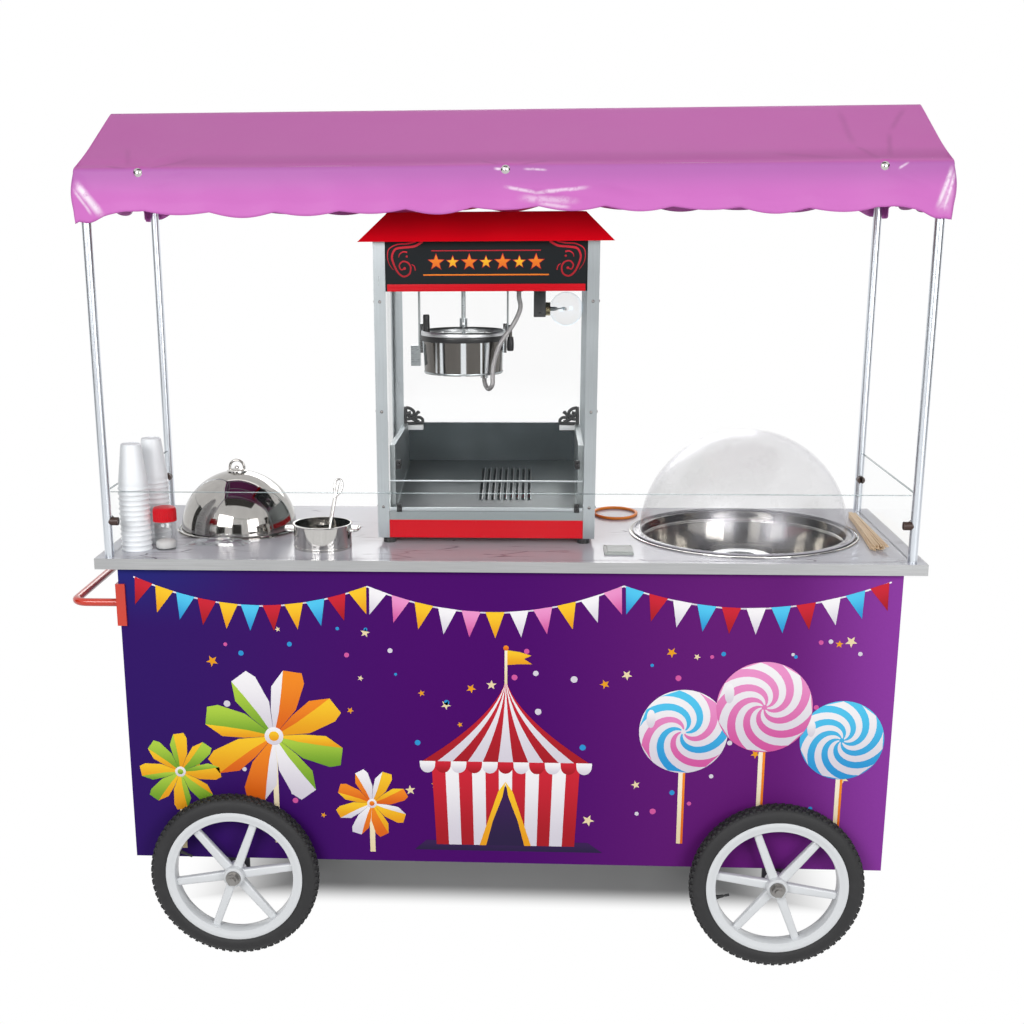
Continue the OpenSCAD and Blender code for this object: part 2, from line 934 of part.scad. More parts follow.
// Clamp that reaches along +X from a post at the origin
module guard_clamp() {
    difference() {
        translate([post_r / 2, 0, 0]) along_x() cylinder(r = clamp_r, h = post_r / 2 + clamp_len);
        translate([0, 0, -clamp_r - cut]) cylinder(r = post_r + seat, h = 2 * (clamp_r + cut));
        translate([post_r + guard_gap - slack, -guard_t / 2 - seat, -clamp_r - cut])
            cube([clamp_len + post_r, guard_t + 2 * seat, 2 * (clamp_r + cut)]);
    }
}

// Bent tube handle: two legs, two bends and the bar between them
module push_handle() {
    leg_end = body_w / 2 + bracket_t + seat;
    bend_x = bar_x - handle_bend;
    bend_y = handle_leg_y - handle_bend;
    color("orangered") translate([0, 0, handle_z]) mirror([1, 0, 0]) {
        for (y = [-handle_leg_y, handle_leg_y])
            translate([leg_end, y, 0]) along_x() cylinder(r = handle_r, h = bend_x - leg_end);
        translate([bend_x, bend_y, 0]) handle_elbow();
        translate([bend_x, -bend_y, 0]) rotate([0, 0, -90]) handle_elbow();
        translate([bar_x, -bend_y, 0]) along_y() cylinder(r = handle_r, h = 2 * bend_y);
    }
}

module handle_elbow() {
    rotate_extrude(angle = 90) translate([handle_bend, 0]) circle(r = handle_r);
}

module handle_brackets() {
    color("orangered") for (side = [-1, 1])
        scale([1, side, 1])
            translate([-body_w / 2 - bracket_t, body_d / 2 - bracket_d, handle_z - bracket_h / 2])
                difference() {
                    cube([bracket_w, bracket_d + bracket_t, bracket_h]);
                    translate([bracket_t, -cut, -cut])
                        cube([bracket_w, bracket_d + cut, bracket_h + 2 * cut]);
                }
}

module wheel_axles() {
    color("gray")
        for (x = [-wheel_x, wheel_x])
            translate([x, -axle_half, wheel_r]) along_y() cylinder(r = axle_r, h = 2 * axle_half);
}

// Frame of a wheel: Z points out of the cart, with X to the right and Y up seen from the front
module at_wheel(i) {
    side = corner_sides[i];
    translate([side[0] * wheel_x, side[1] * wheel_y, wheel_r])
        rotate([0, 0, side[1] > 0 ? 180 : 0]) rotate([90, 0, 0]) children();
}

// A washer and a hexagon nut outside each hub, and a spacer behind it
module axle_nuts() {
    spacer_l = wheel_y - hub_len / 2 - frame_y - slack;
    nut_z = hub_len / 2 + slack;
    color("gray") for (i = [0 : 3]) at_wheel(i) {
        difference() {
            union() {
                translate([0, 0, nut_z]) cylinder(r = washer_r, h = washer_t);
                translate([0, 0, nut_z + washer_t]) cylinder(d = nut_corners, h = nut_h, $fn = 6);
            }
            translate([0, 0, nut_z - cut]) cylinder(r = axle_r + run, h = washer_t + nut_h + 2 * cut);
        }
        translate([0, 0, -hub_len / 2 - slack - spacer_l]) difference() {
            cylinder(r = axle_r + spacer_wall, h = spacer_l - seat);
            translate([0, 0, -cut]) cylinder(r = axle_r + run, h = spacer_l + 2 * cut);
        }
    }
}

// Moulded wheel with a ring, spokes and a hub
module wheel(turn) {
    ring_half = rim_half - rim_flange_t;
    color("white") difference() {
        union() {
            rotate_extrude() {
                polygon([
                    [rim_ring_in, -ring_half], [rim_r, -ring_half], [rim_r, ring_half], [rim_ring_in, ring_half]
                ]);
                for (side = [-1, 1])
                    translate([rim_ring_in + bite, side > 0 ? ring_half : -rim_half])
                        square([rim_depth - bite + rim_flange, rim_flange_t]);
            }
            translate([0, 0, -hub_len / 2]) cylinder(r = hub_r, h = hub_len);
            for (i = [0 : spoke_count - 1])
                rotate([0, 0, turn + i * 360 / spoke_count]) spoke();
        }
        translate([0, 0, -hub_len / 2 - cut]) cylinder(r = axle_r + run, h = hub_len + 2 * cut);
    }
}

module spoke() {
    from = hub_r - 2 * bite;
    to = rim_ring_in + bite;
    translate([0, 0, -spoke_t / 2]) linear_extrude(spoke_t)
        polygon([
            [from, -spoke_hub_w / 2], [to, -spoke_rim_w / 2], [to, spoke_rim_w / 2], [from, spoke_hub_w / 2]
        ]);
}

// Hollow tyre that sits between the rim's flanges, with its valve
module tyre(turn) {
    middle = wheel_r - tyre_w / 2;
    bead_half = rim_half - rim_flange_t - seat;
    flange_top = rim_r + rim_flange + seat;
    color("black") {
        rotate_extrude() difference() {
            translate([middle, 0]) circle(d = tyre_w);
            translate([middle, 0]) circle(d = tyre_w - 2 * tyre_wall);
            translate([rim_ring_in, -tyre_mouth]) square([middle - rim_ring_in, 2 * tyre_mouth]);
            translate([0, -tyre_w]) square([rim_r + seat, 2 * tyre_w]);
            for (y = [bead_half, -tyre_w])
                translate([0, y]) square([flange_top, tyre_w - bead_half]);
        }
        rotate([0, 0, turn]) translate([rim_ring_in - seat - valve_len, 0, 0])
            along_x() cylinder(r = valve_r, h = valve_len);
    }
}

// Frame of the popcorn machine, on the counter
module at_popper() {
    translate([popper_x, popper_y, counter_h]) children();
}

module popper_base() {
    color("red") at_popper() translate([0, 0, foot_h]) difference() {
        block(head_w, head_d, base_h);
        translate([0, (head_d - drawer_d) / 2, sheet_wall])
            block(drawer_w + 2 * slack, drawer_d + 2 * cut, drawer_h + 2 * slack);
        translate([slot_row_x, 0, sheet_wall])
            block((slot_count + 1) * slot_step, slot_l + slot_step, base_h);
    }
}

module popper_feet() {
    color("black") at_popper()
        for (side = corner_sides)
            translate([side[0] * (popper_half_w - foot_inset), side[1] * (popper_half_d - foot_inset), 0])
                cylinder(r = foot_r, h = foot_h);
}

// Four corner profiles from the base's underside to the roof
module popper_corners() {
    color("silver") at_popper()
        for (side = corner_sides)
            translate([side[0] * popper_half_w, side[1] * popper_half_d, foot_h])
                linear_extrude(roof_z - foot_h)
                    polygon([for (p = corner_shape()) [-side[0] * p[0], -side[1] * p[1]]]);
}

// Outline of a corner profile, inwards from the corner
function corner_shape() = [
    [0, 0], [corner_leg, 0], [corner_leg, corner_t], [corner_t, corner_t], [corner_t, corner_leg], [0, corner_leg]
];

// Floor tray with its ledge, crumb slots, side walls and back panel
module popper_tray() {
    back_w = 2 * (popper_half_w - corner_leg - door_gap);
    wall_l = pivot_y + popper_half_d - corner_leg;
    color("silver") at_popper() translate([0, 0, ledge_z - ledge_h]) difference() {
        union() {
            block(head_w, head_d, ledge_h);
            translate([0, pivot_y, 0]) block(back_w, back_t, ledge_h + back_h);
            for (side = [-1, 1])
                translate([side * (back_w - back_t) / 2, pivot_y - wall_l / 2, 0])
                    block(back_t, wall_l, ledge_h + back_h);
        }
        translate([0, -back_t / 2, sheet_wall])
            block(back_w - 2 * back_t, popper_d - 2 * corner_leg - back_t, ledge_h);
        crumb_slots(sheet_wall);
        for (x = [-pivot_x, pivot_x])
            translate([x, pivot_y, ledge_h + back_h - pivot_len])
                cylinder(r = pivot_r + run, h = pivot_len + cut);
    }
    color("silver") at_popper() translate([0, 0, ledge_z + seat]) sieve_floor(back_w - 2 * (back_t + seat));
}

// Sieve floor that slopes from the tray's front rim up to its back panel
module sieve_floor(width) {
    front_y = corner_leg - popper_half_d - sieve_lap;
    rear_y = pivot_y - back_t / 2 - seat;
    difference() {
        translate([-width / 2, 0, 0]) rotate([90, 0, 90]) linear_extrude(width) polygon([
            [front_y, 0], [rear_y, sieve_rise], [rear_y, sieve_rise + sheet_wall], [front_y, sheet_wall]
        ]);
        crumb_slots(sieve_rise + sheet_wall);
    }
}

// Row of crumb slots, cut through a height
module crumb_slots(height) {
    for (i = [0 : slot_count - 1])
        translate([slot_row_x + (i - (slot_count - 1) / 2) * slot_step, 0, -cut])
            block(slot_w, slot_l, height + 2 * cut);
}

module crumb_drawer() {
    plate_w = drawer_w + 2 * drawer_lip;
    plate_h = drawer_h + 2 * drawer_lip - slack;
    color("silver") at_popper() translate([0, head_d / 2, foot_h + sheet_wall + slack]) {
        difference() {
            translate([0, -drawer_d / 2 + slack, 0]) block(drawer_w, drawer_d, drawer_h);
            translate([0, -drawer_d / 2, sheet_wall])
                block(drawer_w - 2 * sheet_wall, drawer_d - 2 * sheet_wall, drawer_h);
        }
        translate([0, sheet_wall / 2 + slack, -drawer_lip + slack]) block(plate_w, sheet_wall, plate_h);
        translate([0, sheet_wall + pull_d / 2, drawer_h / 2]) block(pull_w, pull_d, pull_t);
    }
}

// Front pane and side panes behind the corner profiles
module popper_panes() {
    inset = corner_t + seat;
    pane_h = cabin_h - seat;
    side_l = popper_d - 2 * inset - pane_t - seat;
    color("azure", 0.3) at_popper() translate([0, 0, ledge_z]) {
        translate([0, -popper_half_d + inset + pane_t / 2, 0])
            block(popper_w - 2 * inset, pane_t, pane_h);
        for (side = [-1, 1])
            translate([side * (popper_half_w - inset - pane_t / 2), (pane_t + seat) / 2, 0])
                block(pane_t, side_l, pane_h);
    }
}

// Glass door on pivot pins in the tray's back panel and in the head
module popper_door(side) {
    low = ledge_z + back_h + slack;
    high = head_z - slack;
    outer = popper_half_w - corner_leg - door_gap;
    color("azure", 0.3) at_popper() translate([0, pivot_y, 0]) {
        translate([side * (outer - glass_door_w / 2), 0, low]) block(glass_door_w, pane_t, high - low);
        translate([side * pivot_x, 0, low - pivot_len + slack]) cylinder(r = pivot_r, h = pivot_len + bite);
        translate([side * pivot_x, 0, high - bite]) cylinder(r = pivot_r, h = bite + sheet_wall);
    }
}

// Head with the sign panels: an open box with a floor
module popper_head() {
    color("black") at_popper() translate([0, 0, head_z]) {
        difference() {
            block(head_w, head_d, head_h);
            translate([0, 0, sheet_wall])
                block(head_w - 2 * sheet_wall, head_d - 2 * sheet_wall, head_h);
            translate([kettle_x, 0, -cut]) cylinder(r = shaft_r + bite, h = sheet_wall + 2 * cut);
            for (x = [-pivot_x, pivot_x])
                translate([x, pivot_y, -cut]) cylinder(r = pivot_r + run, h = sheet_wall + 2 * cut);
        }
        translate([head_gland[0], head_gland[1], -gland_h]) cylinder(r = gland_r, h = gland_h + bite);
    }
}

// Hipped roof with a flat top, hollow above the head
module popper_roof() {
    color("red") at_popper() translate([0, 0, roof_z]) difference() {
        hip(popper_half_w + roof_over, popper_half_d + roof_over, 0, roof_h);
        hip(popper_half_w + roof_over, popper_half_d + roof_over, -sheet_wall, roof_h - sheet_wall);
    }
    color("red") at_popper() translate([0, 0, roof_z]) difference() {
        block(popper_w + 2 * (roof_over - sheet_wall), popper_d + 2 * (roof_over - sheet_wall), sheet_wall);
        translate([0, 0, -cut])
            block(head_w - 2 * sheet_wall, head_d - 2 * sheet_wall, sheet_wall + 2 * cut);
    }
}

// Solid with four sloping sides, from half sizes at zero height
module hip(half_w, half_d, low, high) {
    intersection() {
        rotate([90, 0, 0]) translate([0, 0, -half_d]) linear_extrude(2 * half_d)
            polygon(hip_shape(half_w, low, high));
        rotate([90, 0, 90]) translate([0, 0, -half_w]) linear_extrude(2 * half_w)
            polygon(hip_shape(half_d, low, high));
    }
}

// Side outline of the sloping solid, cut at its low and high levels
function hip_shape(half, low, high) = [
    [-half + (low < 0 ? sheet_wall : 0), low], [half - (low < 0 ? sheet_wall : 0), low],
    [half - (low < 0 ? sheet_wall : 0), 0],
    [half - roof_run_share * high - (low < 0 ? sheet_wall : 0), high],
    [-half + roof_run_share * high + (low < 0 ? sheet_wall : 0), high],
    [-half + (low < 0 ? sheet_wall : 0), 0]
];

// Frame of the kettle: the tilt axis runs along X through the origin
module at_kettle() {
    at_popper() translate([kettle_x, 0, axis_z]) children();
}

// Two arms from the head that carry the kettle, with a latch box on the left one
module kettle_hangers() {
    color("silver") at_kettle() {
        translate([-arm_in - arm_t / 2, 0, 0]) hanger_arm(arm_down);
        translate([arm_in + arm_t / 2, 0, 0]) hanger_arm(arm_w / 2 + bite);
        translate([-arm_out - latch_w / 2, 0, -arm_down]) block(latch_w, arm_w, latch_h);
    }
}

module hanger_arm(down) {
    difference() {
        translate([0, 0, -down]) block(arm_t, arm_w, down + kettle_drop);
        translate([-arm_t / 2 - cut, 0, 0]) along_x() cylinder(r = trunnion_r + run, h = arm_t + 2 * cut);
    }
}

// Kettle with a half cover, ears, trunnion pins, a crank and the lead's gland
module kettle() {
    bottom_r = kettle_r - kettle_taper;
    color("silver") at_kettle() {
        difference() {
            union() {
                kettle_pot(bottom_r);
                for (side = [-1, 1]) kettle_ear(side);
                translate([0, 0, -rim_drop - kettle_wall]) cylinder(r = stem_boss_r, h = kettle_wall + stem_boss_h);
                for (x = [-hinge_lug_x, hinge_lug_x]) translate([x, 0, 0]) hinge_lug();
            }
            translate([0, 0, -rim_drop - kettle_wall - cut])
                cylinder(r = stem_r + run, h = kettle_wall + stem_boss_h + 2 * cut);
        }
        translate([crank_x, 0, -crank_len]) cylinder(r = crank_r, h = crank_len);
        translate([kettle_gland[0], kettle_gland[1], kettle_floor - gland_h])
            cylinder(r = gland_r, h = gland_h + kettle_wall / 2);
    }
}

// Pot whose front half is covered up to the bridge
module kettle_pot(bottom_r) {
    rotate_extrude() polygon([
        [0, kettle_floor], [bottom_r, kettle_floor], [kettle_r, -rim_drop], [kettle_r - kettle_wall, -rim_drop],
        [bottom_r - kettle_wall, kettle_floor + kettle_wall], [0, kettle_floor + kettle_wall]
    ]);
    difference() {
        translate([0, 0, -rim_drop - kettle_wall]) cylinder(r = kettle_r - kettle_wall / 2, h = kettle_wall);
        translate([-kettle_r - cut, bridge_w / 2, -rim_drop - kettle_wall - cut])
            cube([2 * (kettle_r + cut), kettle_r + cut, kettle_wall + 2 * cut]);
    }
}

// Ear and trunnion pin; the right pin reaches out to the crank
module kettle_ear(side) {
    pin_l = side > 0 ? crank_x - kettle_r : arm_out - kettle_r;
    translate([side * (kettle_r + ear_t / 2 - bite), 0, -ear_down])
        block(ear_t + 2 * bite, ear_w, ear_down + ear_up);
    scale([side, 1, 1]) translate([kettle_r, 0, 0]) along_x() cylinder(r = trunnion_r, h = pin_l);
}

// Lug on the bridge that holds the lid's hinge rod
module hinge_lug() {
    reach = hinge_y + 2 * hinge_rod_r;
    difference() {
        translate([-hinge_lug_t / 2, 0, -rim_drop - kettle_wall])
            cube([hinge_lug_t, reach, hinge_z + rim_drop + kettle_wall + 2 * hinge_rod_r]);
        translate([-hinge_lug_t / 2 - cut, hinge_y, hinge_z])
            along_x() cylinder(r = hinge_rod_r + run, h = hinge_lug_t + 2 * cut);
    }
}

// Half lid that lies on the open half of the kettle, on a hinge rod
module kettle_lid() {
    rod_half = hinge_lug_x + hinge_lug_t;
    color("silver") at_kettle() {
        difference() {
            translate([0, 0, -rim_drop + seat]) cylinder(r = kettle_r - seat, h = lid_t);
            translate([-kettle_r - cut, -kettle_r - cut, -rim_drop - cut])
                cube([2 * (kettle_r + cut), kettle_r + cut + hinge_y, lid_t + 2 * cut]);
            for (x = [-hinge_lug_x, hinge_lug_x])
                translate([x, hinge_y, -rim_drop - cut])
                    block(hinge_lug_t + 2 * slack, 6 * hinge_rod_r, lid_t + 2 * cut);
        }
        translate([-rod_half, hinge_y, hinge_z]) along_x() cylinder(r = hinge_rod_r, h = 2 * rod_half);
    }
}

// Black grips: one on the crank, one standing on the half cover
module kettle_grip() {
    color("black") at_kettle() {
        translate([crank_x, 0, -crank_len - seat - bite]) difference() {
            cylinder(r = grip_r, h = grip_len);
            translate([0, 0, bite]) cylinder(r = crank_r + seat, h = grip_len + cut);
        }
        translate([-kettle_r + grip_r + 2 * kettle_wall, -ear_w, -rim_drop + seat])
            cylinder(r = grip_r, h = grip_len + rim_drop);
    }
}

// Points of a smooth curve through a route, and a tube swept along it
function curve_point(a, b, c, d, t) =
    b + (c - a) * t / 2 + (2 * a - 5 * b + 4 * c - d) * t * t / 2 + (3 * b - a - 3 * c + d) * t * t * t / 2;
function route_point(route, i) = route[max(0, min(len(route) - 1, i))];
function smooth(route, steps) = concat(
    [for (i = [0 : len(route) - 2], s = [0 : steps - 1])
        curve_point(route_point(route, i - 1), route[i], route[i + 1], route_point(route, i + 2), s / steps)],
    [route[len(route) - 1]]
);
function unit(v) = v / norm(v);
function tangent(line, i) = unit(route_point(line, i + 1) - route_point(line, i - 1));
function ring(middle, along, r, sides) =
    let (side = unit(cross(along, [1, 0, 0])), up = cross(along, side))
    [for (k = [0 : sides - 1]) middle + r * (cos(360 * k / sides) * side + sin(360 * k / sides) * up)];
function tube_faces(rings, sides) = concat(
    [for (i = [0 : rings - 2], k = [0 : sides - 1])
        [i * sides + k, (i + 1) * sides + k, (i + 1) * sides + (k + 1) % sides]],
    [for (i = [0 : rings - 2], k = [0 : sides - 1])
        [i * sides + k, (i + 1) * sides + (k + 1) % sides, i * sides + (k + 1) % sides]],
    [for (k = [1 : sides - 2]) [0, k, k + 1]],
    [for (k = [1 : sides - 2]) [(rings - 1) * sides, (rings - 1) * sides + k + 1, (rings - 1) * sides + k]]
);

// Flexible lead from the gland under the head to the gland under the kettle
module kettle_lead() {
    line = smooth(concat([lead_top], lead_route, [lead_bottom]), lead_steps);
    last = len(line) - 1;
    ends = [for (i = [0 : last]) i == 0 || i == last ? [0, 0, i == 0 ? -1 : 1] : tangent(line, i)];
    points = [for (i = [0 : last]) each ring(line[i], ends[i], lead_r, lead_sides)];
    color("gray") at_popper() translate([0, 0, axis_z]) polyhedron(points, tube_faces(last + 1, lead_sides));
}

// Stirrer: a stem with a blade on top and an arm at the bottom
module stirrer() {
    arm_z = kettle_floor + kettle_wall + stir_gap;
    arm_half = kettle_r - kettle_taper - kettle_wall - 4 * stir_gap;
    color("silver") at_kettle() {
        translate([0, 0, arm_z]) cylinder(r = stem_r, h = -blade_down - arm_z + bite);
        translate([0, 0, -blade_down]) block(2 * blade_half_x, 2 * blade_half_y, blade_up + blade_down);
        translate([0, 0, arm_z]) block(2 * arm_half, stir_arm_w, stir_arm_t);
    }
}

// Drive shaft with a thrust collar under the head and a fork that straddles the stirrer's blade
module drive_shaft() {
    slot_top = norm([blade_half_y, blade_up]) + 2 * fork_gap;
    color("silver") at_kettle() difference() {
        union() {
            translate([0, 0, fork_gap]) cylinder(r = fork_r, h = fork_h);
            translate([0, 0, kettle_drop - slack - collar_h]) cylinder(r = collar_r, h = collar_h);
            translate([0, 0, fork_h - bite])
                cylinder(r = shaft_r, h = kettle_drop + sheet_wall + shaft_grip - fork_h + bite);
        }
        translate([0, 0, fork_gap - cut])
            block(2 * (blade_half_x + fork_gap), 2 * (fork_r + cut), slot_top - fork_gap + cut);
    }
}

module stir_motor() {
    color("dimgray") at_popper() translate([kettle_x, 0, head_z + sheet_wall]) difference() {
        block(motor_w, motor_d, motor_h);
        translate([0, 0, -cut]) cylinder(r = shaft_r + run, h = shaft_grip + slack + cut);
    }
}

// Lamp with its holder under the head
module warming_lamp() {
    color("gainsboro") at_popper() translate([lamp_x, lamp_y, head_z]) {
        translate([0, 0, -holder_h]) block(holder_w, holder_w, holder_h);
        translate([holder_w / 2 + seat, 0, -lamp_drop]) along_x() rotate_extrude() intersection() {
            union() {
                square([lamp_neck_r, lamp_neck + lamp_r]);
                translate([0, lamp_neck + lamp_r]) circle(r = lamp_r);
            }
            square([lamp_r, lamp_neck + 2 * lamp_r]);
        }
    }
}

// Frame of the candy machine, on the counter
module at_bowl() {
    translate([bowl_x, bowl_y, counter_h]) children();
}

module candy_bowl() {
    hole = spin_shaft_r + bite;
    bottom_r = bowl_r - bowl_taper;
    color("silver") at_bowl() rotate_extrude() polygon([
        [hole, -bowl_depth], [bottom_r, -bowl_depth], [bowl_r, -bowl_neck], [bowl_r, 0],
        [bowl_flange_r, 0], [bowl_flange_r, bowl_flange_t], [bowl_r - bowl_wall, bowl_flange_t],
        [bowl_r - bowl_wall, -bowl_neck], [bottom_r - bowl_wall, bowl_wall - bowl_depth], [hole, bowl_wall - bowl_depth]
    ]);
}

// Hollow half ball with a lip round its edge, standing on zero height
module half_shell(outer, wall, lip_r, lip_t) {
    rotate_extrude() {
        intersection() {
            difference() {
                circle(r = outer);
                circle(r = outer - wall);
            }
            square([outer, outer]);
        }
        translate([outer - wall, 0]) square([lip_r - outer + wall, lip_t]);
    }
}

module candy_dome() {
    color("azure", 0.3) at_bowl() translate([0, 0, bowl_flange_t + seat])
        half_shell(dome_r, dome_wall, dome_flange_r, dome_wall);
}

// Spinner: slotted head, shaft and pulley
module spinner() {
    head_low = -spinner_drop - spinner_h;
    color("silver") at_bowl() {
        difference() {
            translate([0, 0, head_low]) cylinder(r = spinner_r, h = spinner_h);
            translate([0, 0, head_low + spinner_wall])
                cylinder(r = spinner_r - spinner_wall, h = spinner_h - 2 * spinner_wall);
            translate([0, 0, -spinner_drop - 2 * spinner_wall])
                cylinder(r = spinner_r / 2, h = 2 * spinner_wall + cut);
            for (i = [0 : spinner_slots - 1])
                rotate([0, 0, i * 360 / spinner_slots])
                    translate([0, -spinner_slot_w / 2, head_low + (spinner_h - spinner_slot_h) / 2])
                        cube([spinner_r + cut, spinner_slot_w, spinner_slot_h]);
        }
        translate([0, 0, plate_bottom - bearing_len])
            cylinder(r = spin_shaft_r, h = head_low + spinner_wall - plate_bottom + bearing_len);
        translate([0, 0, pulley_z]) pulley(big_pulley_r);
    }
}

// Pulley with two flanges, standing on zero height
module pulley(r) {
    cylinder(r = r, h = pulley_h);
    for (z = [-pulley_flange_t, pulley_h])
        translate([0, 0, z]) cylinder(r = r + pulley_flange, h = pulley_flange_t);
}

// Housing under the bowl: flange, posts, plate and lower bearing
module bearing_housing() {
    plate_far = belt_centres + spin_motor_r;
    color("gray") at_bowl() difference() {
        union() {
            translate([0, 0, housing_top - housing_t]) cylinder(r = housing_r, h = housing_t);
            for (turn = housing_post_turns)
                rotate([0, 0, turn]) translate([housing_post_ring, 0, plate_top - bite])
                    cylinder(r = housing_post_r, h = housing_room + 2 * bite);
            translate([-plate_far, -housing_r, plate_bottom])
                cube([plate_far + housing_r, 2 * housing_r, housing_t]);
            translate([0, 0, plate_bottom - bearing_len]) cylinder(r = bearing_r, h = bearing_len + bite);
        }
        translate([0, 0, plate_bottom - bearing_len - cut])
            cylinder(r = spin_shaft_r + run, h = -plate_bottom + bearing_len);
        translate([-belt_centres, 0, plate_bottom - cut])
            cylinder(r = motor_shaft_r + plate_hole_gap, h = housing_t + 2 * cut);
    }
}

module spin_motor() {
    color("dimgray") at_bowl() translate([-belt_centres, 0, plate_bottom - spin_motor_h]) difference() {
        cylinder(r = spin_motor_r, h = spin_motor_h);
        translate([0, 0, spin_motor_h - motor_shaft_grip - slack])
            cylinder(r = motor_shaft_r + run, h = motor_shaft_grip + slack + cut);
    }
}

module motor_pulley() {
    color("silver") at_bowl() translate([-belt_centres, 0, 0]) {
        translate([0, 0, pulley_z]) pulley(small_pulley_r);
        translate([0, 0, plate_bottom - motor_shaft_grip])
            cylinder(r = motor_shaft_r, h = pulley_z - plate_bottom + motor_shaft_grip + bite);
    }
}

// Outline round both pulleys at a distance from their tracks, as one closed line
function belt_outline(off) =
    let (
        lean = asin((big_pulley_r - small_pulley_r) / belt_centres),
        big = big_pulley_r + off,
        small = small_pulley_r + off,
        big_arc = 180 + 2 * lean,
        small_arc = 180 - 2 * lean
    )
    concat(
        [for (i = [0 : belt_steps]) big * turned(-big_arc / 2 + big_arc * i / belt_steps)],
        [for (i = [0 : belt_steps])
            small * turned(180 - small_arc / 2 + small_arc * i / belt_steps) - [belt_centres, 0]]
    );
function turned(angle) = [cos(angle), sin(angle)];

module drive_belt() {
    color("orange") at_bowl() translate([0, 0, pulley_z + (pulley_h - belt_h) / 2])
        linear_extrude(belt_h) difference() {
            polygon(belt_outline(slack + belt_t));
            polygon(belt_outline(slack));
        }
}

// Frame of the corn cooker, on the counter
module at_well() {
    translate([well_x, well_y, counter_h]) children();
}

module corn_well() {
    color("silver") at_well() rotate_extrude() polygon([
        [0, -well_depth], [well_r, -well_depth], [well_r, 0], [well_flange_r, 0], [well_flange_r, well_flange_t],
        [well_r - well_wall, well_flange_t], [well_r - well_wall, well_wall - well_depth], [0, well_wall - well_depth]
    ]);
}

// Domed lid with a wire loop on top
module corn_lid() {
    color("silver") at_well() translate([0, 0, well_flange_t + seat]) {
        half_shell(corn_lid_r, corn_lid_wall, corn_lid_r + lid_lip, lid_lip_t);
        translate([0, 0, corn_lid_r - corn_lid_wall]) {
            for (x = [-loop_r, loop_r])
                translate([x, 0, 0]) cylinder(r = loop_wire_r, h = corn_lid_wall + loop_leg);
            translate([0, 0, corn_lid_wall + loop_leg]) rotate([90, 0, 0])
                rotate_extrude(angle = 180) translate([loop_r, 0]) circle(r = loop_wire_r);
        }
    }
}

// Points of one cup stack's side: a row of rims, then the last cup
function cup_side() = concat(
    [[0, 0]],
    [for (i = [0 : cup_rims - 1], p = [[0, 0], [0, cup_rim_h], [-cup_rim_out, cup_rim_h], [-cup_rim_out, cup_step]])
        [cup_r + cup_rim_out + p[0], i * cup_step + p[1]]],
    [[cup_bottom_r, cup_rims * cup_step + cup_h], [0, cup_rims * cup_step + cup_h]]
);

module cup_stacks() {
    color("white")
        for (place = cup_places)
            translate([place[0] - counter_w / 2, place[1], counter_h])
                rotate_extrude() polygon(cup_side());
}

module salt_shaker() {
    translate([shaker_place[0] - counter_w / 2, shaker_place[1], counter_h]) {
        color("azure", 0.4) difference() {
            cylinder(r = jar_r, h = jar_h);
            translate([0, 0, jar_wall]) cylinder(r = jar_r - jar_wall, h = jar_h);
        }
        color("red") translate([0, 0, jar_h + seat]) cylinder(r = cap_r, h = cap_h);
    }
}

// Serving pot with two lugs, and a ladle that stands in it
module serving_pot() {
    bowl_z = pot_wall + seat + ladle_r;
    color("silver") translate([pot_place[0] - counter_w / 2, pot_place[1], counter_h]) {
        difference() {
            union() {
                cylinder(r = pot_r, h = pot_h);
                for (side = [-1, 1])
                    translate([side * (pot_r + pot_lug_l / 2 - bite), 0, pot_h - pot_lug_drop])
                        block(pot_lug_l + 2 * bite, pot_lug_w, pot_lug_t);
            }
            translate([0, 0, pot_wall]) cylinder(r = pot_r - pot_wall, h = pot_h);
        }
        translate([0, 0, bowl_z]) {
            rotate([180, 0, 0]) half_shell(ladle_r, ladle_wall, ladle_r, ladle_wall);
            rotate([0, 0, ladle_turn]) translate([ladle_r - ladle_wall, 0, -ladle_rod_r])
                rotate([0, ladle_lean, 0]) cylinder(r = ladle_rod_r, h = ladle_rod_l);
        }
    }
}

module candy_sticks() {
    step = 2 * stick_r + stick_gap;
    color("burlywood")
        translate([counter_w / 2 - stick_place[0], stick_place[1], counter_h]) rotate([0, 0, stick_turn])
            for (layer = [0 : stick_layers - 1], i = [0 : stick_cols - 1])
                translate([(i - (stick_cols - 1) / 2) * step, -stick_l / 2, stick_r + layer * step])
                    along_y() cylinder(r = stick_r, h = stick_l);
}

placed() cart_frame();
placed() cabinet_floor();
placed() front_panel();
placed() cabinet_panels();
placed() door_tracks();
placed() left_door();
placed() right_door();
placed() heat_knob();
placed() countertop();
placed() counter_edge();
placed() canopy_posts();
placed() canopy_frame();
placed() canopy_cover();
placed() canopy_studs();
placed() glass_guards();
placed() glass_clamps();
placed() push_handle();
placed() handle_brackets();
placed() wheel_axles();
placed() axle_nuts();
for (i = [0 : 3]) {
    placed() at_wheel(i) wheel(spoke_turns[i % 2]);
    placed() at_wheel(i) tyre(valve_turns[i % 2]);
}
placed() popper_base();
placed() popper_feet();
placed() popper_corners();
placed() popper_tray();
placed() crumb_drawer();
placed() popper_panes();
placed() popper_door(-1);  // popper_left_door
placed() popper_door(1);  // popper_right_door
placed() popper_head();
placed() popper_roof();
placed() kettle_hangers();
placed() kettle();
placed() kettle_lid();
placed() kettle_grip();
placed() kettle_lead();
placed() stirrer();
placed() drive_shaft();
placed() stir_motor();
placed() warming_lamp();
placed() candy_bowl();
placed() candy_dome();
placed() spinner();
placed() bearing_housing();
placed() spin_motor();
placed() motor_pulley();
placed() drive_belt();
placed() corn_well();
placed() corn_lid();
placed() cup_stacks();
placed() salt_shaker();
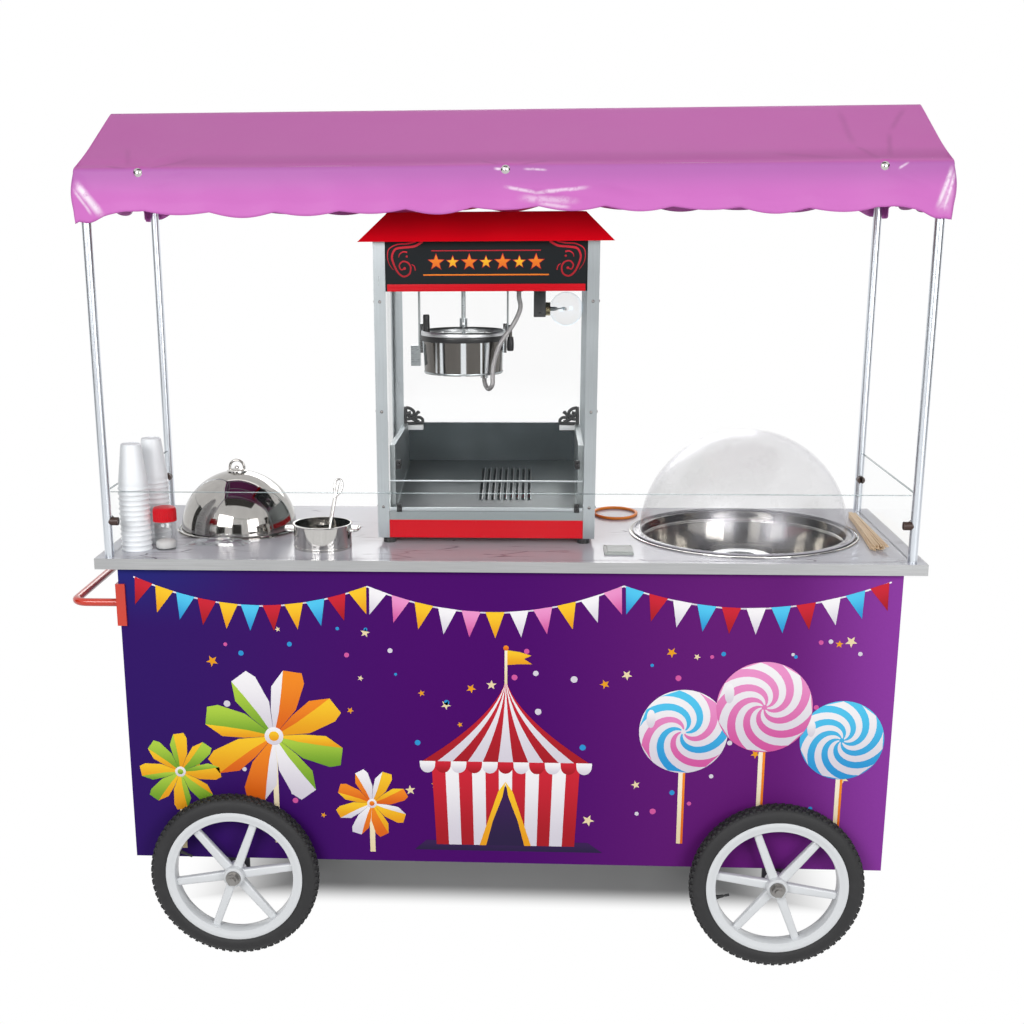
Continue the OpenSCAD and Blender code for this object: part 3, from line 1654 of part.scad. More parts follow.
placed() serving_pot();
placed() candy_sticks();
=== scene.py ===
"""Looks of a wheeled street-food cart: canopy, printed front, wheels and three food machines."""

import json
import math

import bmesh
import bpy
from mathutils import Matrix, Vector

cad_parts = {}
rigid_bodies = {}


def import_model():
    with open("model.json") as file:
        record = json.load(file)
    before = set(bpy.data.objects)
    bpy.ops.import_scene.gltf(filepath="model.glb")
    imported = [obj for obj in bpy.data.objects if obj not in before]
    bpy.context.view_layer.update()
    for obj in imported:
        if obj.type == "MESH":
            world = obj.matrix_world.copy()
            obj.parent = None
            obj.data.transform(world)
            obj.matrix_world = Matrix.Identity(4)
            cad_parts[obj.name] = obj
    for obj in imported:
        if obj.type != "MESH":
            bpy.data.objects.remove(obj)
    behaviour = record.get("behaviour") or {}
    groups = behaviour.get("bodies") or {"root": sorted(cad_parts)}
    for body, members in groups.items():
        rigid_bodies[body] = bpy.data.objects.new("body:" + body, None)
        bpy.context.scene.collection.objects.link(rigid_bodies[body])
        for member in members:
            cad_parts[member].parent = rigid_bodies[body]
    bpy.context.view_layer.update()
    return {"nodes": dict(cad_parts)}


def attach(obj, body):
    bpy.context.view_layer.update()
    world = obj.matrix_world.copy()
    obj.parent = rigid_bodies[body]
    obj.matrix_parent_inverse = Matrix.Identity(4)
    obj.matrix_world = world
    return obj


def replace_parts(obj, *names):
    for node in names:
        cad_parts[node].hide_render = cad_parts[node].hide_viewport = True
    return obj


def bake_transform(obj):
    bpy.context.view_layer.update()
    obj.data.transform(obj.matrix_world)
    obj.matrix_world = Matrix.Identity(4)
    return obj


for stray in list(bpy.data.objects):
    bpy.data.objects.remove(stray)
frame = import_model()

# Places and sizes in metres, in the part's own frame
MID = 0.0375  # middle of the cabinet along X
COUNTER = 0.935  # top of the counter
FRONT = -0.280  # front face of the printed panel
POPPER = Vector((MID - 0.045, 0.070, COUNTER))  # popcorn machine
POPPER_FRONT = POPPER.y - 0.200  # front face of its corner profiles
HEAD_Z = COUNTER + 0.562  # underside of its head
SIGN_Y = POPPER.y - 0.1968  # face of its sign
KETTLE = Vector((MID - 0.104, 0.070, 1.405))
BOWL = Vector((MID + 0.550, 0.010, COUNTER))  # candy machine
WELL = Vector((MID - 0.641, 0.025, COUNTER))  # corn cooker
POT = Vector((MID - 0.412, -0.165, COUNTER))  # serving pot
CORNERS = {"front_left": (-1, -1), "front_right": (1, -1), "rear_left": (-1, 1),
           "rear_right": (1, 1)}
AXLE = Vector((0.616, 0.318, 0.195))  # a wheel's middle, from MID and the floor
UPRIGHT = Matrix.Rotation(math.pi / 2, 4, "X")  # stands a flat drawing up to face the front

# Camera at the photograph's viewing angle
CAMERA_YAW, CAMERA_DIP, CAMERA_ROLL = 0.0648, 0.2689, -0.0075
camera = bpy.data.objects.new("camera", bpy.data.cameras.new("camera"))
bpy.context.collection.objects.link(camera)
camera.location = (0.1065, -3.3527, 1.6725)
aim = Matrix.Rotation(CAMERA_YAW, 3, "Z") @ Matrix.Rotation(math.pi / 2 - CAMERA_DIP, 3, "X")
camera.rotation_euler = (aim @ Matrix.Rotation(CAMERA_ROLL, 3, "Z")).to_euler()
camera.data.lens = 51.13
camera.data.shift_x = 0.0659
camera.data.shift_y = 0.0942
bpy.context.scene.camera = camera
bpy.context.scene.view_settings.view_transform = "Standard"


# Finishes: a small wrapper round shader sockets, so that masks read as sums
class Tone:
    """One value or colour in a shader tree."""

    def __init__(self, owner, socket):
        self.owner = owner
        self.socket = socket

    def _math(self, operation, *values):
        return self.owner.node("ShaderNodeMath", {"operation": operation}, dict(enumerate(values)))

    def __add__(self, other):
        return self._math("ADD", self, other)

    def __radd__(self, other):
        return self._math("ADD", other, self)

    def __sub__(self, other):
        return self._math("SUBTRACT", self, other)

    def __rsub__(self, other):
        return self._math("SUBTRACT", other, self)

    def __mul__(self, other):
        return self._math("MULTIPLY", self, other)

    def __rmul__(self, other):
        return self._math("MULTIPLY", other, self)

    def __truediv__(self, other):
        return self._math("DIVIDE", self, other)

    def __pow__(self, other):
        return self._math("POWER", self, other)

    def sine(self):
        return self._math("SINE", self)

    def size(self):
        return self._math("ABSOLUTE", self)

    def least(self, other):
        return self._math("MINIMUM", self, other)

    def most(self, other):
        return self._math("MAXIMUM", self, other)

    def ramp(self, low, high, out_low=0.0, out_high=1.0):
        settings = {"interpolation_type": "SMOOTHSTEP"}
        span = {0: self, 1: low, 2: high, 3: out_low, 4: out_high}
        return self.owner.node("ShaderNodeMapRange", settings, span)


class Shading:
    """A shader tree that is built from plain calls."""

    def __init__(self, tree):
        self.tree = tree
        tree.nodes.clear()

    def put(self, socket, value):
        if isinstance(value, Tone):
            self.tree.links.new(value.socket, socket)
        elif isinstance(value, tuple) and socket.type == "RGBA":
            socket.default_value = (*value, 1.0)
        else:
            socket.default_value = value

    def node(self, kind, settings=None, values=None, out=0):
        made = self.tree.nodes.new(kind)
        for name, value in (settings or {}).items():
            setattr(made, name, value)
        for name, value in (values or {}).items():
            self.put(made.inputs[name], value)
        return Tone(self, made.outputs[out])

    def seen(self):
        """1 for rays from the camera, mirrors and glass, which see the background, or else 0."""
        rays = self.node("ShaderNodeLightPath").socket.node.outputs
        eye, mirror, glass = (Tone(self, rays["Is %s Ray" % kind])
                              for kind in ("Camera", "Glossy", "Transmission"))
        return eye.most(mirror).most(glass)


class Finish(Shading):
    """A material with one main shader."""

    def __init__(self, name):
        self.material = bpy.data.materials.new(name)
        self.material.use_nodes = True
        super().__init__(self.material.node_tree)
        self.shader = self.tree.nodes.new("ShaderNodeBsdfPrincipled")
        self.output = self.tree.nodes.new("ShaderNodeOutputMaterial")
        self.tree.links.new(self.shader.outputs[0], self.output.inputs[0])

    def set(self, **values):
        for name, value in values.items():
            self.put(self.shader.inputs[name.replace("_", " ")], value)
        return self

    def place(self):
        return self.node("ShaderNodeTexCoord", out="Object")

    def axes(self):
        split = self.node("ShaderNodeSeparateXYZ", None, {0: self.place()}).socket.node
        return [Tone(self, axis) for axis in split.outputs]

    def attribute(self, name):
        return self.node("ShaderNodeAttribute", {"attribute_name": name}, out=2)

    def scaled(self, scale, turn=(0, 0, 0)):
        return self.node("ShaderNodeMapping", None, {0: self.place(), 2: turn, 3: scale})

    def noise(self, scale, detail=3.0, rough=0.5, where=None):
        values = {"Vector": where or self.place(), "Scale": scale, "Detail": detail,
                  "Roughness": rough}
        return self.node("ShaderNodeTexNoise", None, values)

    def cell_edges(self, scale, where):
        return self.node("ShaderNodeTexVoronoi", {"feature": "DISTANCE_TO_EDGE"},
                         {"Vector": where, "Scale": scale})

    def mix(self, share, a, b):
        return self.node("ShaderNodeMix", {"data_type": "RGBA"}, {0: share, 6: a, 7: b}, 2)

    def bump(self, height, depth, strength=1.0):
        values = {"Height": height, "Distance": depth, "Strength": strength}
        return self.set(Normal=self.node("ShaderNodeBump", None, values))


def shade(colour, k):
    return tuple(min(1.0, c * k) for c in colour)


def painted(name, colour, rough=0.3, grain=900.0, depth=0.00006, coat=0.25, drift=0.10, wear=0.0,
            shine=0.5):
    """Sprayed or powder-coated metal: slow colour drift, orange peel, and scuffs with wear."""
    f = Finish(name)
    slow = f.noise(6.0, 4.0)
    fine = f.noise(grain, 2.0)
    base = f.mix(slow, shade(colour, 1 - drift), shade(colour, 1 + drift))
    if wear:
        scuff = f.noise(42.0, 8.0, 0.7).ramp(0.62, 0.72)
        base = f.mix(scuff * wear, base, shade(colour, 0.45))
    f.set(Base_Color=base, Roughness=rough + 0.12 * slow + 0.05 * fine - 0.08, Coat_Weight=coat,
          Coat_Roughness=0.12)
    f.set(Specular_IOR_Level=shine)
    return f.bump(fine, depth).material


def metal(name, colour, rough, stretch, grain=60.0, depth=0.00002, dull=0.12, spots=0.0):
    """Bare metal with drawn or brushed lines along the long axis of stretch."""
    f = Finish(name)
    lines = f.noise(grain, 6.0, 0.65, f.scaled(stretch))
    cloud = f.noise(7.0, 4.0)
    base = f.mix(cloud, shade(colour, 0.90), shade(colour, 1.06))
    base = f.mix(lines.ramp(0.35, 0.75), base, shade(colour, 0.86))
    if spots:
        base = f.mix(f.noise(30.0, 6.0, 0.75).ramp(0.60, 0.75) * spots, base, shade(colour, 0.5))
    f.set(Base_Color=base, Metallic=1.0)
    f.set(Roughness=rough + dull * (lines - 0.5) + 0.10 * (cloud - 0.5))
    return f.bump(lines, depth).material


def moulded(name, colour, rough=0.45, grain=1500.0, depth=0.00005, drift=0.12):
    """Moulded plastic or rubber with a fine skin."""
    f = Finish(name)
    fine = f.noise(grain, 3.0)
    slow = f.noise(11.0, 3.0)
    f.set(Base_Color=f.mix(slow, shade(colour, 1 - drift), shade(colour, 1 + drift)),
          Roughness=rough + 0.15 * (fine - 0.5))
    return f.bump(fine, depth).material


def clear(name, tint, veil=0.03, gain=0.9, rough=0.02, smear=0.02):
    """Thin clear sheet: nearly see-through face on, mirror-like at a slant, with faint smears."""
    f = Finish(name)
    slant = f.node("ShaderNodeLayerWeight", None, {"Blend": 0.5}, "Facing") ** 5.0 * 0.96 + 0.04
    haze = f.noise(9.0, 5.0, 0.6).ramp(0.45, 0.8)
    f.set(Base_Color=f.mix(haze, tint, shade(tint, 1.15)), Metallic=0.85,
          Roughness=rough + 0.06 * haze)
    f.set(Alpha=(slant * gain + veil + smear * haze).least(1.0))
    return f.material


CLOTH = (0.592, 0.160, 0.518)  # canopy, on its valance
LILAC = (0.415, 0.134, 0.410)  # canopy, just under the eave
# The slope colour is darker than the valance colour: painted shade on the slopes, which the front
# light reaches less
SLOPE = (0.488, 0.105, 0.379)  # canopy, on its slopes
# Stretch of the fine lines in metal
DRAWN_UP, DRAWN_ALONG, SPUN = (1.0, 1.0, 0.02), (0.03, 1.0, 1.0), (1.0, 1.0, 0.05)
frame_paint = painted("frame_paint", (0.030, 0.028, 0.036), 0.42, wear=0.3)
post_metal = metal("post_metal", (0.74, 0.78, 0.83), 0.30, DRAWN_UP, 40.0, 0.000001, 0.04)
edge_metal = metal("edge_metal", (0.47, 0.475, 0.48), 0.36, DRAWN_ALONG, 300.0)
satin_metal = metal("satin_metal", (0.62, 0.63, 0.64), 0.34, DRAWN_ALONG, 300.0)
profile_metal = metal("profile_metal", (0.52, 0.56, 0.58), 0.30, DRAWN_UP, 400.0)
sheet_steel = metal("sheet_steel", (0.42, 0.45, 0.46), 0.30, (0.06, 1.0, 1.0), 160.0, dull=0.2,
                    spots=0.35)
bowl_steel = metal("bowl_steel", (0.31, 0.295, 0.270), 0.085, SPUN, 90.0, 0.000008, 0.03)
# Darker copy of bright_steel for the corn lid: painted shade, standing for the dark room mirrored
# in the lid
lid_chrome = metal("lid_chrome", (0.43, 0.415, 0.395), 0.070, SPUN, 90.0, 0.000006, 0.03)
lid_steel = metal("lid_steel", (0.46, 0.48, 0.485), 0.34, (0.2, 1.0, 1.0), 140.0, dull=0.1)
bright_steel = metal("bright_steel", (0.60, 0.585, 0.565), 0.075, SPUN, 90.0, 0.000008, 0.03)
brass = metal("brass", (0.50, 0.44, 0.28), 0.28, (1.0, 1.0, 1.0), 200.0, spots=0.4)
zinc = metal("zinc", (0.30, 0.29, 0.28), 0.36, (1.0, 0.2, 1.0), 200.0, spots=0.6)
black_plastic = moulded("black_plastic", (0.012, 0.012, 0.013), 0.40)
brown_rubber = moulded("brown_rubber", (0.040, 0.016, 0.010), 0.42)
handle_coat = painted("handle_coat", (0.60, 0.028, 0.006), 0.26, 700.0, 0.00008, 0.5)
side_coat = painted("side_coat", (0.105, 0.016, 0.215), 0.28)
door_coat = painted("door_coat", (0.145, 0.028, 0.270), 0.30)
red_coat = painted("red_coat", (0.600, 0.003, 0.012), 0.36, coat=0.0, drift=0.06, shine=0.12)
# Brighter copy of the red paint for the roof: painted light, lifting the roof out of the canopy's
# shade
roof_coat = painted("roof_coat", (0.800, 0.002, 0.010), 0.40, coat=0.03, drift=0.05, shine=0.15)
sign_black = painted("sign_black", (0.012, 0.015, 0.017), 0.50, coat=0.0, drift=0.2, shine=0.10)
wheel_white = painted("wheel_white", (0.72, 0.74, 0.76), 0.30, coat=0.4, drift=0.03, wear=0.10)
bar_white = painted("bar_white", (0.80, 0.81, 0.82), 0.35, coat=0.2, drift=0.03)
cup_white = moulded("cup_white", (0.90, 0.925, 0.95), 0.42, drift=0.02)
motor_coat = painted("motor_coat", (0.060, 0.062, 0.066), 0.45, wear=0.3)
guard_glass = clear("guard_glass", (0.72, 0.80, 0.80), 0.0, 0.16, smear=0.004)
pane_glass = clear("pane_glass", (0.78, 0.84, 0.85), 0.0, 0.30, smear=0.008)
dome_clear = clear("dome_clear", (0.66, 0.65, 0.70), 0.080, 0.28, 0.26, 0.02)
jar_glass = clear("jar_glass", (0.84, 0.87, 0.88), 0.05, 0.55)
bulb_glass = clear("bulb_glass", (0.30, 0.52, 0.70), 0.05, 0.50)
glass_edge = clear("glass_edge", (0.27, 0.33, 0.34), 0.55, 0.3, 0.15)


def counter_laminate():
    """Pale glossy laminate with sparse slanted veins."""
    f = Finish("counter_laminate")
    base = f.mix(f.noise(3.0, 5.0), (0.50, 0.505, 0.56), (0.60, 0.605, 0.65))
    slanted = f.scaled((2.0, 9.0, 1.0), turn=(0, 0, 0.55))
    veins = f.cell_edges(3.2, slanted).ramp(0.0, 0.035, 1.0, 0.0)
    gate = f.noise(7.5, 2.0, 0.5).ramp(0.52, 0.60)
    base = f.mix(veins * gate * 0.85, base, (0.10, 0.08, 0.11))
    f.set(Base_Color=base, Roughness=0.16 + 0.10 * f.noise(25.0, 4.0), Coat_Weight=0.05,
          Specular_IOR_Level=0.16)
    return f.material


def printed_panel():
    """Glossy printed front: deep indigo on the left turning to purple on the right."""
    f = Finish("printed_panel")
    x, _, z = f.axes()
    base = f.mix(x.ramp(-0.80, -0.05), (0.032, 0.008, 0.132), (0.070, 0.0025, 0.142))
    base = f.mix(x.ramp(0.00, 0.60), base, (0.132, 0.012, 0.178))
    base = f.mix(x.ramp(0.62, 0.92), base, (0.270, 0.046, 0.360))
    base = f.mix(z.ramp(0.76, 0.92) * x.ramp(-0.45, -0.82) * 0.8, base, (0.016, 0.026, 0.205))
    base = f.mix(f.noise(260.0, 2.0) * 0.10, base, (0.0, 0.0, 0.02))
    f.set(Base_Color=base, Roughness=0.40 + 0.08 * f.noise(40.0, 3.0), Specular_IOR_Level=0.07)
    return f.material


def vinyl(name, low, high, rough=0.40):
    """Printed film: a colour that changes from the motif's foot to its top."""
    f = Finish(name)
    rise = f.attribute("rise")
    print_dots = f.noise(900.0, 1.0)
    base = f.mix((rise + 0.12 * (print_dots - 0.5)).ramp(0.0, 1.0), low, high)
    f.set(Base_Color=base, Roughness=rough + 0.05 * print_dots, Specular_IOR_Level=0.25)
    return f.material


# Straight creases in the front valance, with white highlights painted along them: ends in x and z,
# half width, and how strong the painted highlight and the gloss are
VALANCE_CREASES = [((-0.847, 1.733), (-0.790, 1.655), 0.0125, 1.0),
                   ((-0.853, 1.722), (-0.812, 1.658), 0.0050, 0.7),
                   ((0.030, 1.7145), (0.110, 1.698), 0.0055, 0.75),
                   ((0.080, 1.699), (0.215, 1.711), 0.0055, 0.75),
                   ((0.055, 1.691), (0.195, 1.683), 0.0110, 0.50),
                   ((0.098, 1.680), (0.175, 1.671), 0.0065, 0.60),
                   ((0.012, 1.7485), (0.045, 1.744), 0.0038, 0.90),
                   ((0.070, 1.747), (0.125, 1.745), 0.0038, 0.70),
                   ((0.921, 1.750), (0.893, 1.660), 0.0070, 1.0),
                   ((0.926, 1.742), (0.906, 1.652), 0.0060, 0.9),
                   ((0.918, 1.720), (0.903, 1.650), 0.0200, 0.40),
                   ((0.814, 1.739), (0.838, 1.755), 0.0035, 0.6)]
# Folds that fan out from the studs over the front slope, with shade painted along them: ends in x
# and y, half width, darkness of the painted shade
SLOPE_FOLDS = [((0.742, -0.015), (0.742, -0.228), 0.0120, 0.30),
               ((0.741, -0.215), (0.785, -0.282), 0.0100, 0.40),
               ((0.886, -0.012), (0.824, -0.152), 0.0100, 0.35),
               ((0.826, -0.140), (0.801, -0.284), 0.0100, 0.40),
               ((-0.790, -0.276), (-0.725, -0.296), 0.0070, 0.60),
               ((-0.700, -0.294), (-0.600, -0.240), 0.0080, 0.45),
               ((-0.735, -0.290), (-0.762, -0.180), 0.0110, 0.30),
               ((-0.020, -0.262), (0.030, -0.290), 0.0070, 0.45),
               ((0.062, -0.290), (0.130, -0.262), 0.0070, 0.45),
               ((0.560, -0.240), (0.720, -0.268), 0.0090, 0.40)]


def crease(across, along, start, end, width):
    """Mask of a straight crease between two points of a pair of axes, tapered at both ends."""
    length = math.dist(start, end)
    ux, uy = (end[0] - start[0]) / length, (end[1] - start[1]) / length
    run = (across - start[0]) * ux + (along - start[1]) * uy
    off = ((along - start[1]) * ux - (across - start[0]) * uy).size()
    ends = run.ramp(0.0, 0.3 * length) * run.ramp(0.7 * length, length, 1.0, 0.0)
    return off.ramp(0.0, width, 1.0, 0.0) * ends


def canopy_cloth():
    """Coated cloth: satin slopes in a darker colour that is painted shade, lilac under the eave, a
    painted shadow band and painted fold shade on the front slope, and glossy valance creases with
    white highlights painted along them.
    """
    f = Finish("canopy_cloth")
    x, y, z = f.axes()
    slow = f.noise(5.0, 4.0)
    fine = f.noise(600.0, 2.0)
    wobble = 0.006 * (f.noise(38.0, 4.0) - 0.5)
    base = f.mix(slow, shade(CLOTH, 0.96), shade(CLOTH, 1.04))
    base = f.mix(z.ramp(1.690, 1.752) * 0.85, base, LILAC)
    # Painted shade: the slopes darker than the valance, and darker on the left than on the right
    slope = f.mix(x.ramp(-0.85, 0.92), shade(SLOPE, 0.92), shade(SLOPE, 1.05))
    # Painted shadow: a dark band along the front slope just above the eave, where the cloth sags
    # behind the eave rail
    band = z.ramp(1.7575, 1.7640) * z.ramp(1.7660, 1.7900, 1.0, 0.0) * x.ramp(-0.70, -0.60)
    slope = f.mix(band * y.ramp(-0.20, -0.24) * 0.55, slope, shade(SLOPE, 0.66))
    dark = [crease(x + wobble, y, a, b, w) * k for a, b, w, k in SLOPE_FOLDS]
    white = [crease(x, z + wobble, a, b, w) * k for a, b, w, k in VALANCE_CREASES]
    fold, gloss_and_highlight = dark[0], white[0]
    for mask in dark[1:]:
        fold = fold.most(mask)
    for mask in white[1:]:
        gloss_and_highlight = gloss_and_highlight.most(mask)
    # Painted shade along the folds of the front slope
    slope = f.mix(fold, slope, shade(SLOPE, 0.62))
    base = f.mix(z.ramp(1.7510, 1.7570), base, slope)
    patchy = (0.35 + 0.9 * f.noise(75.0, 5.0, 0.65).ramp(0.32, 0.62)).least(1.0)
    gloss_and_highlight = gloss_and_highlight * y.ramp(-0.275, -0.288) * patchy
    # Painted highlight: the creases' base colour turned near-white; the same mask below raises
    # their coat and lowers their roughness
    base = f.mix(gloss_and_highlight * 0.85, base, (0.95, 0.86, 0.95))
    base = f.mix(fine * 0.06, base, shade(CLOTH, 0.7))
    f.set(Base_Color=base, Roughness=0.46 + 0.10 * slow - 0.25 * gloss_and_highlight,
          Coat_Weight=0.03 + 0.45 * gloss_and_highlight, Coat_Roughness=0.15)
    f.set(Specular_IOR_Level=0.16)
    return f.bump(f.noise(26.0, 4.0, 0.5) - 0.5 * fold, 0.0012, 0.4).material


def tray_steel():
    """Galvanised tray: a back panel painted dark and blotchy as shade, over a paler sieve floor
    that is darker towards the front and painted lighter towards the right and back, where light
    falls.
    """
    f = Finish("tray_steel")
    x, y, z = f.axes()
    lines = f.noise(150.0, 6.0, 0.65, f.scaled((0.08, 1.0, 1.0)))
    cloud = f.noise(9.0, 5.0, 0.6)
    base = f.mix(cloud, (0.060, 0.072, 0.078), (0.150, 0.170, 0.175))
    base = f.mix(y.ramp(-0.12, 0.17, 1.0, 0.0), base, (0.018, 0.023, 0.027))
    # Painted light: the floor lighter towards the right and the back
    base = f.mix(x.ramp(-0.04, 0.19) * y.ramp(-0.16, 0.10, 0.25, 0.7), base, (0.30, 0.33, 0.33))
    base = f.mix(y.ramp(-0.1280, -0.1240, 1.0, 0.0), base, (0.40, 0.45, 0.46))
    wall = (x - POPPER.x).size().ramp(0.2000, 0.2060)
    base = f.mix(wall, base, (0.34, 0.37, 0.375))
    # Painted shade: the back panel dark and blotchy, deep inside the machine
    back_shade = f.mix(f.noise(22.0, 6.0, 0.7), (0.028, 0.036, 0.040), (0.080, 0.098, 0.106))
    base = f.mix(y.ramp(0.2480, 0.2535) * z.ramp(1.000, 1.030), base, back_shade)
    f.set(Base_Color=base, Metallic=1.0)
    f.set(Roughness=0.38 + 0.20 * (lines - 0.5) + 0.12 * (cloud - 0.5))
    return f.bump(lines, 0.00003).material


# Bright reflections painted as upright bands on the kettle's wall: middle and half width, as shares
# of its radius
KETTLE_RADIUS = 0.0965
KETTLE_REFLECTIONS = ((-0.99, 0.070), (-0.61, 0.030), (-0.475, 0.060), (0.045, 0.080), (0.46, 0.028),
                (0.59, 0.070), (0.98, 0.05))


def kettle_steel():
    """Polished steel with painted reflections: a dark base and bright upright bands painted in,
    standing for the studio mirrored in the wall.
    """
    f = Finish("kettle_steel")
    x, _, _ = f.axes()
    across = (x - KETTLE.x) / KETTLE_RADIUS
    lines = f.noise(90.0, 5.0, 0.6, f.scaled((1.0, 1.0, 0.04)))
    # Dark base: painted reflection of the dark studio, with bright painted reflections laid over it
    # in bands
    base = f.mix(lines, (0.085, 0.078, 0.070), (0.165, 0.155, 0.145))
    for middle, half in KETTLE_REFLECTIONS:
        band = (across - middle).size().ramp(0.55 * half, half, 1.0, 0.0)
        base = f.mix(band, base, (0.78, 0.81, 0.83))
    f.set(Base_Color=base, Metallic=1.0, Roughness=0.10 + 0.06 * lines)
    return f.bump((across * 9.0).sine(), 0.0006).material


def tyre_rubber():
    """Matt black rubber with a dusty bloom."""
    f = Finish("tyre_rubber")
    dust = f.noise(30.0, 6.0, 0.65).ramp(0.42, 0.8)
    base = f.mix(dust * 0.5, (0.012, 0.012, 0.013), (0.048, 0.048, 0.050))
    f.set(Base_Color=base, Roughness=0.62 + 0.2 * dust)
    return f.bump(f.noise(500.0, 3.0), 0.0002).material


def stick_wood():
    """Pale raw wood with grain along the stick."""
    f = Finish("stick_wood")
    grain = f.noise(120.0, 5.0, 0.6, f.scaled((1.0, 0.05, 1.0)))
    base = f.mix(grain, (0.62, 0.42, 0.24), (0.86, 0.69, 0.47))
    f.set(Base_Color=base, Roughness=0.55 + 0.2 * grain)
    return f.bump(grain, 0.0002).material


def lead_sleeve():
    """Grey metal-cloth sleeve with rings along its length."""
    f = Finish("lead_sleeve")
    turn = f.attribute("along")
    ring = (turn * 2400.0).sine() * 0.5 + 0.5
    base = f.mix(ring, (0.26, 0.25, 0.255), (0.64, 0.62, 0.62))
    f.set(Base_Color=base, Metallic=0.6, Roughness=0.34 + 0.2 * (1 - ring))
    return f.bump(ring, 0.0004).material


def salt_grain():
    """Coarse white salt."""
    f = Finish("salt_grain")
    speck = f.noise(1800.0, 2.0)
    f.set(Base_Color=f.mix(speck, (0.62, 0.60, 0.58), (0.92, 0.92, 0.90)),
          Roughness=0.7 + 0.2 * speck)
    return f.bump(speck, 0.0006).material


laminate = counter_laminate()
panel_print = printed_panel()
canopy_finish = canopy_cloth()
tyre_finish = tyre_rubber()
tray_finish = tray_steel()
kettle_finish = kettle_steel()
wood_finish = stick_wood()
lead_finish = lead_sleeve()
salt_finish = salt_grain()


# Mesh helpers: every finished object sits at the origin with its place in its mesh
def plain_mesh(name, bm):
    mesh = bpy.data.meshes.new(name)
    bm.to_mesh(mesh)
    bm.free()
    return mesh


def placed(name, mesh, body, smooth=None):
    """Puts a mesh in the scene, smooth up to an angle, as a piece that rides on a body."""
    piece = bpy.data.objects.new(name, mesh)
    bpy.context.collection.objects.link(piece)
    if smooth is not None:
        for face in mesh.polygons:
            face.use_smooth = True
        if smooth < 180:
            mesh.set_sharp_from_angle(angle=math.radians(smooth))
    if body:
        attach(piece, body)
    return piece


def finished(name, bm, materials, body, smooth=None, merge=1e-6, outward=True):
    """Turns a bmesh into a piece."""
    if merge:
        bmesh.ops.remove_doubles(bm, verts=bm.verts, dist=merge)
    if outward:
        bmesh.ops.recalc_face_normals(bm, faces=bm.faces)
    mesh = plain_mesh(name, bm)
    for material in materials if isinstance(materials, list) else [materials]:
        mesh.materials.append(material)
    return placed(name, mesh, body, smooth)


def lathe(bm, profile, steps, place, closed=False):
    """Turns (radius, height) points about Z, then places the result with a matrix."""
    rings = []
    for r, z in profile:
        if r < 1e-7:
            rings.append([bm.verts.new(place @ Vector((0, 0, z)))])
        else:
            angles = [2 * math.pi * i / steps for i in range(steps)]
            rings.append([bm.verts.new(place @ Vector((r * math.cos(a), r * math.sin(a), z)))
                          for a in angles])
    for low, high in zip(rings, rings[1:] + rings[:1] if closed else rings[1:]):
        for i in range(steps):
            j = (i + 1) % steps
            if len(low) == 1 and len(high) == 1:
                continue
            if len(low) == 1:
                bm.faces.new([low[0], high[j], high[i]])
            elif len(high) == 1:
                bm.faces.new([low[i], low[j], high[0]])
            else:
                bm.faces.new([low[i], low[j], high[j], high[i]])


def turned(name, profile, steps, place, material, body, smooth):
    """Piece with one turned profile."""
    bm = bmesh.new()
    lathe(bm, profile, steps, place)
    return finished(name, bm, material, body, smooth)


def block(bm, low, high, bevel=0.0):
    """Box between two corners, with rounded edges."""
    size = [h - l for l, h in zip(low, high)]
    middle = [(h + l) / 2 for l, h in zip(low, high)]
    made = bmesh.ops.create_cube(bm, size=1.0)["verts"]
    for v in made:
        v.co = Vector([v.co[i] * size[i] + middle[i] for i in range(3)])
    if bevel:
        edges = list({e for v in made for e in v.link_edges})
        bmesh.ops.bevel(bm, geom=edges, offset=bevel, segments=2, affect="EDGES", profile=0.7)


def prism(bm, outline, low, high, place=Matrix.Identity(4), index=0):
    """Closed solid over a flat outline, from one height to another."""
    bottom = [bm.verts.new(place @ Vector((x, y, low))) for x, y in outline]
    top = [bm.verts.new(place @ Vector((x, y, high))) for x, y in outline]
    faces = [bm.faces.new(bottom[::-1]), bm.faces.new(top)]
    for i in range(len(outline)):
        j = (i + 1) % len(outline)
        faces.append(bm.faces.new([bottom[i], bottom[j], top[j], top[i]]))
    for face in faces:
        face.material_index = index


def smooth_line(points, steps):
    """Points of a smooth curve through given points."""
    pts = [Vector(p) for p in points]
    last = len(pts) - 1
    line = []
    for i in range(last):
        a, b, c, d = (pts[max(0, min(last, k))] for k in range(i - 1, i + 3))
        for s in range(steps):
            t = s / steps
            line.append(b + (c - a) * (t / 2) + (2 * a - 5 * b + 4 * c - d) * (t * t / 2)
                        + (3 * b - a - 3 * c + d) * (t ** 3 / 2))
    line.append(pts[-1])
    return line


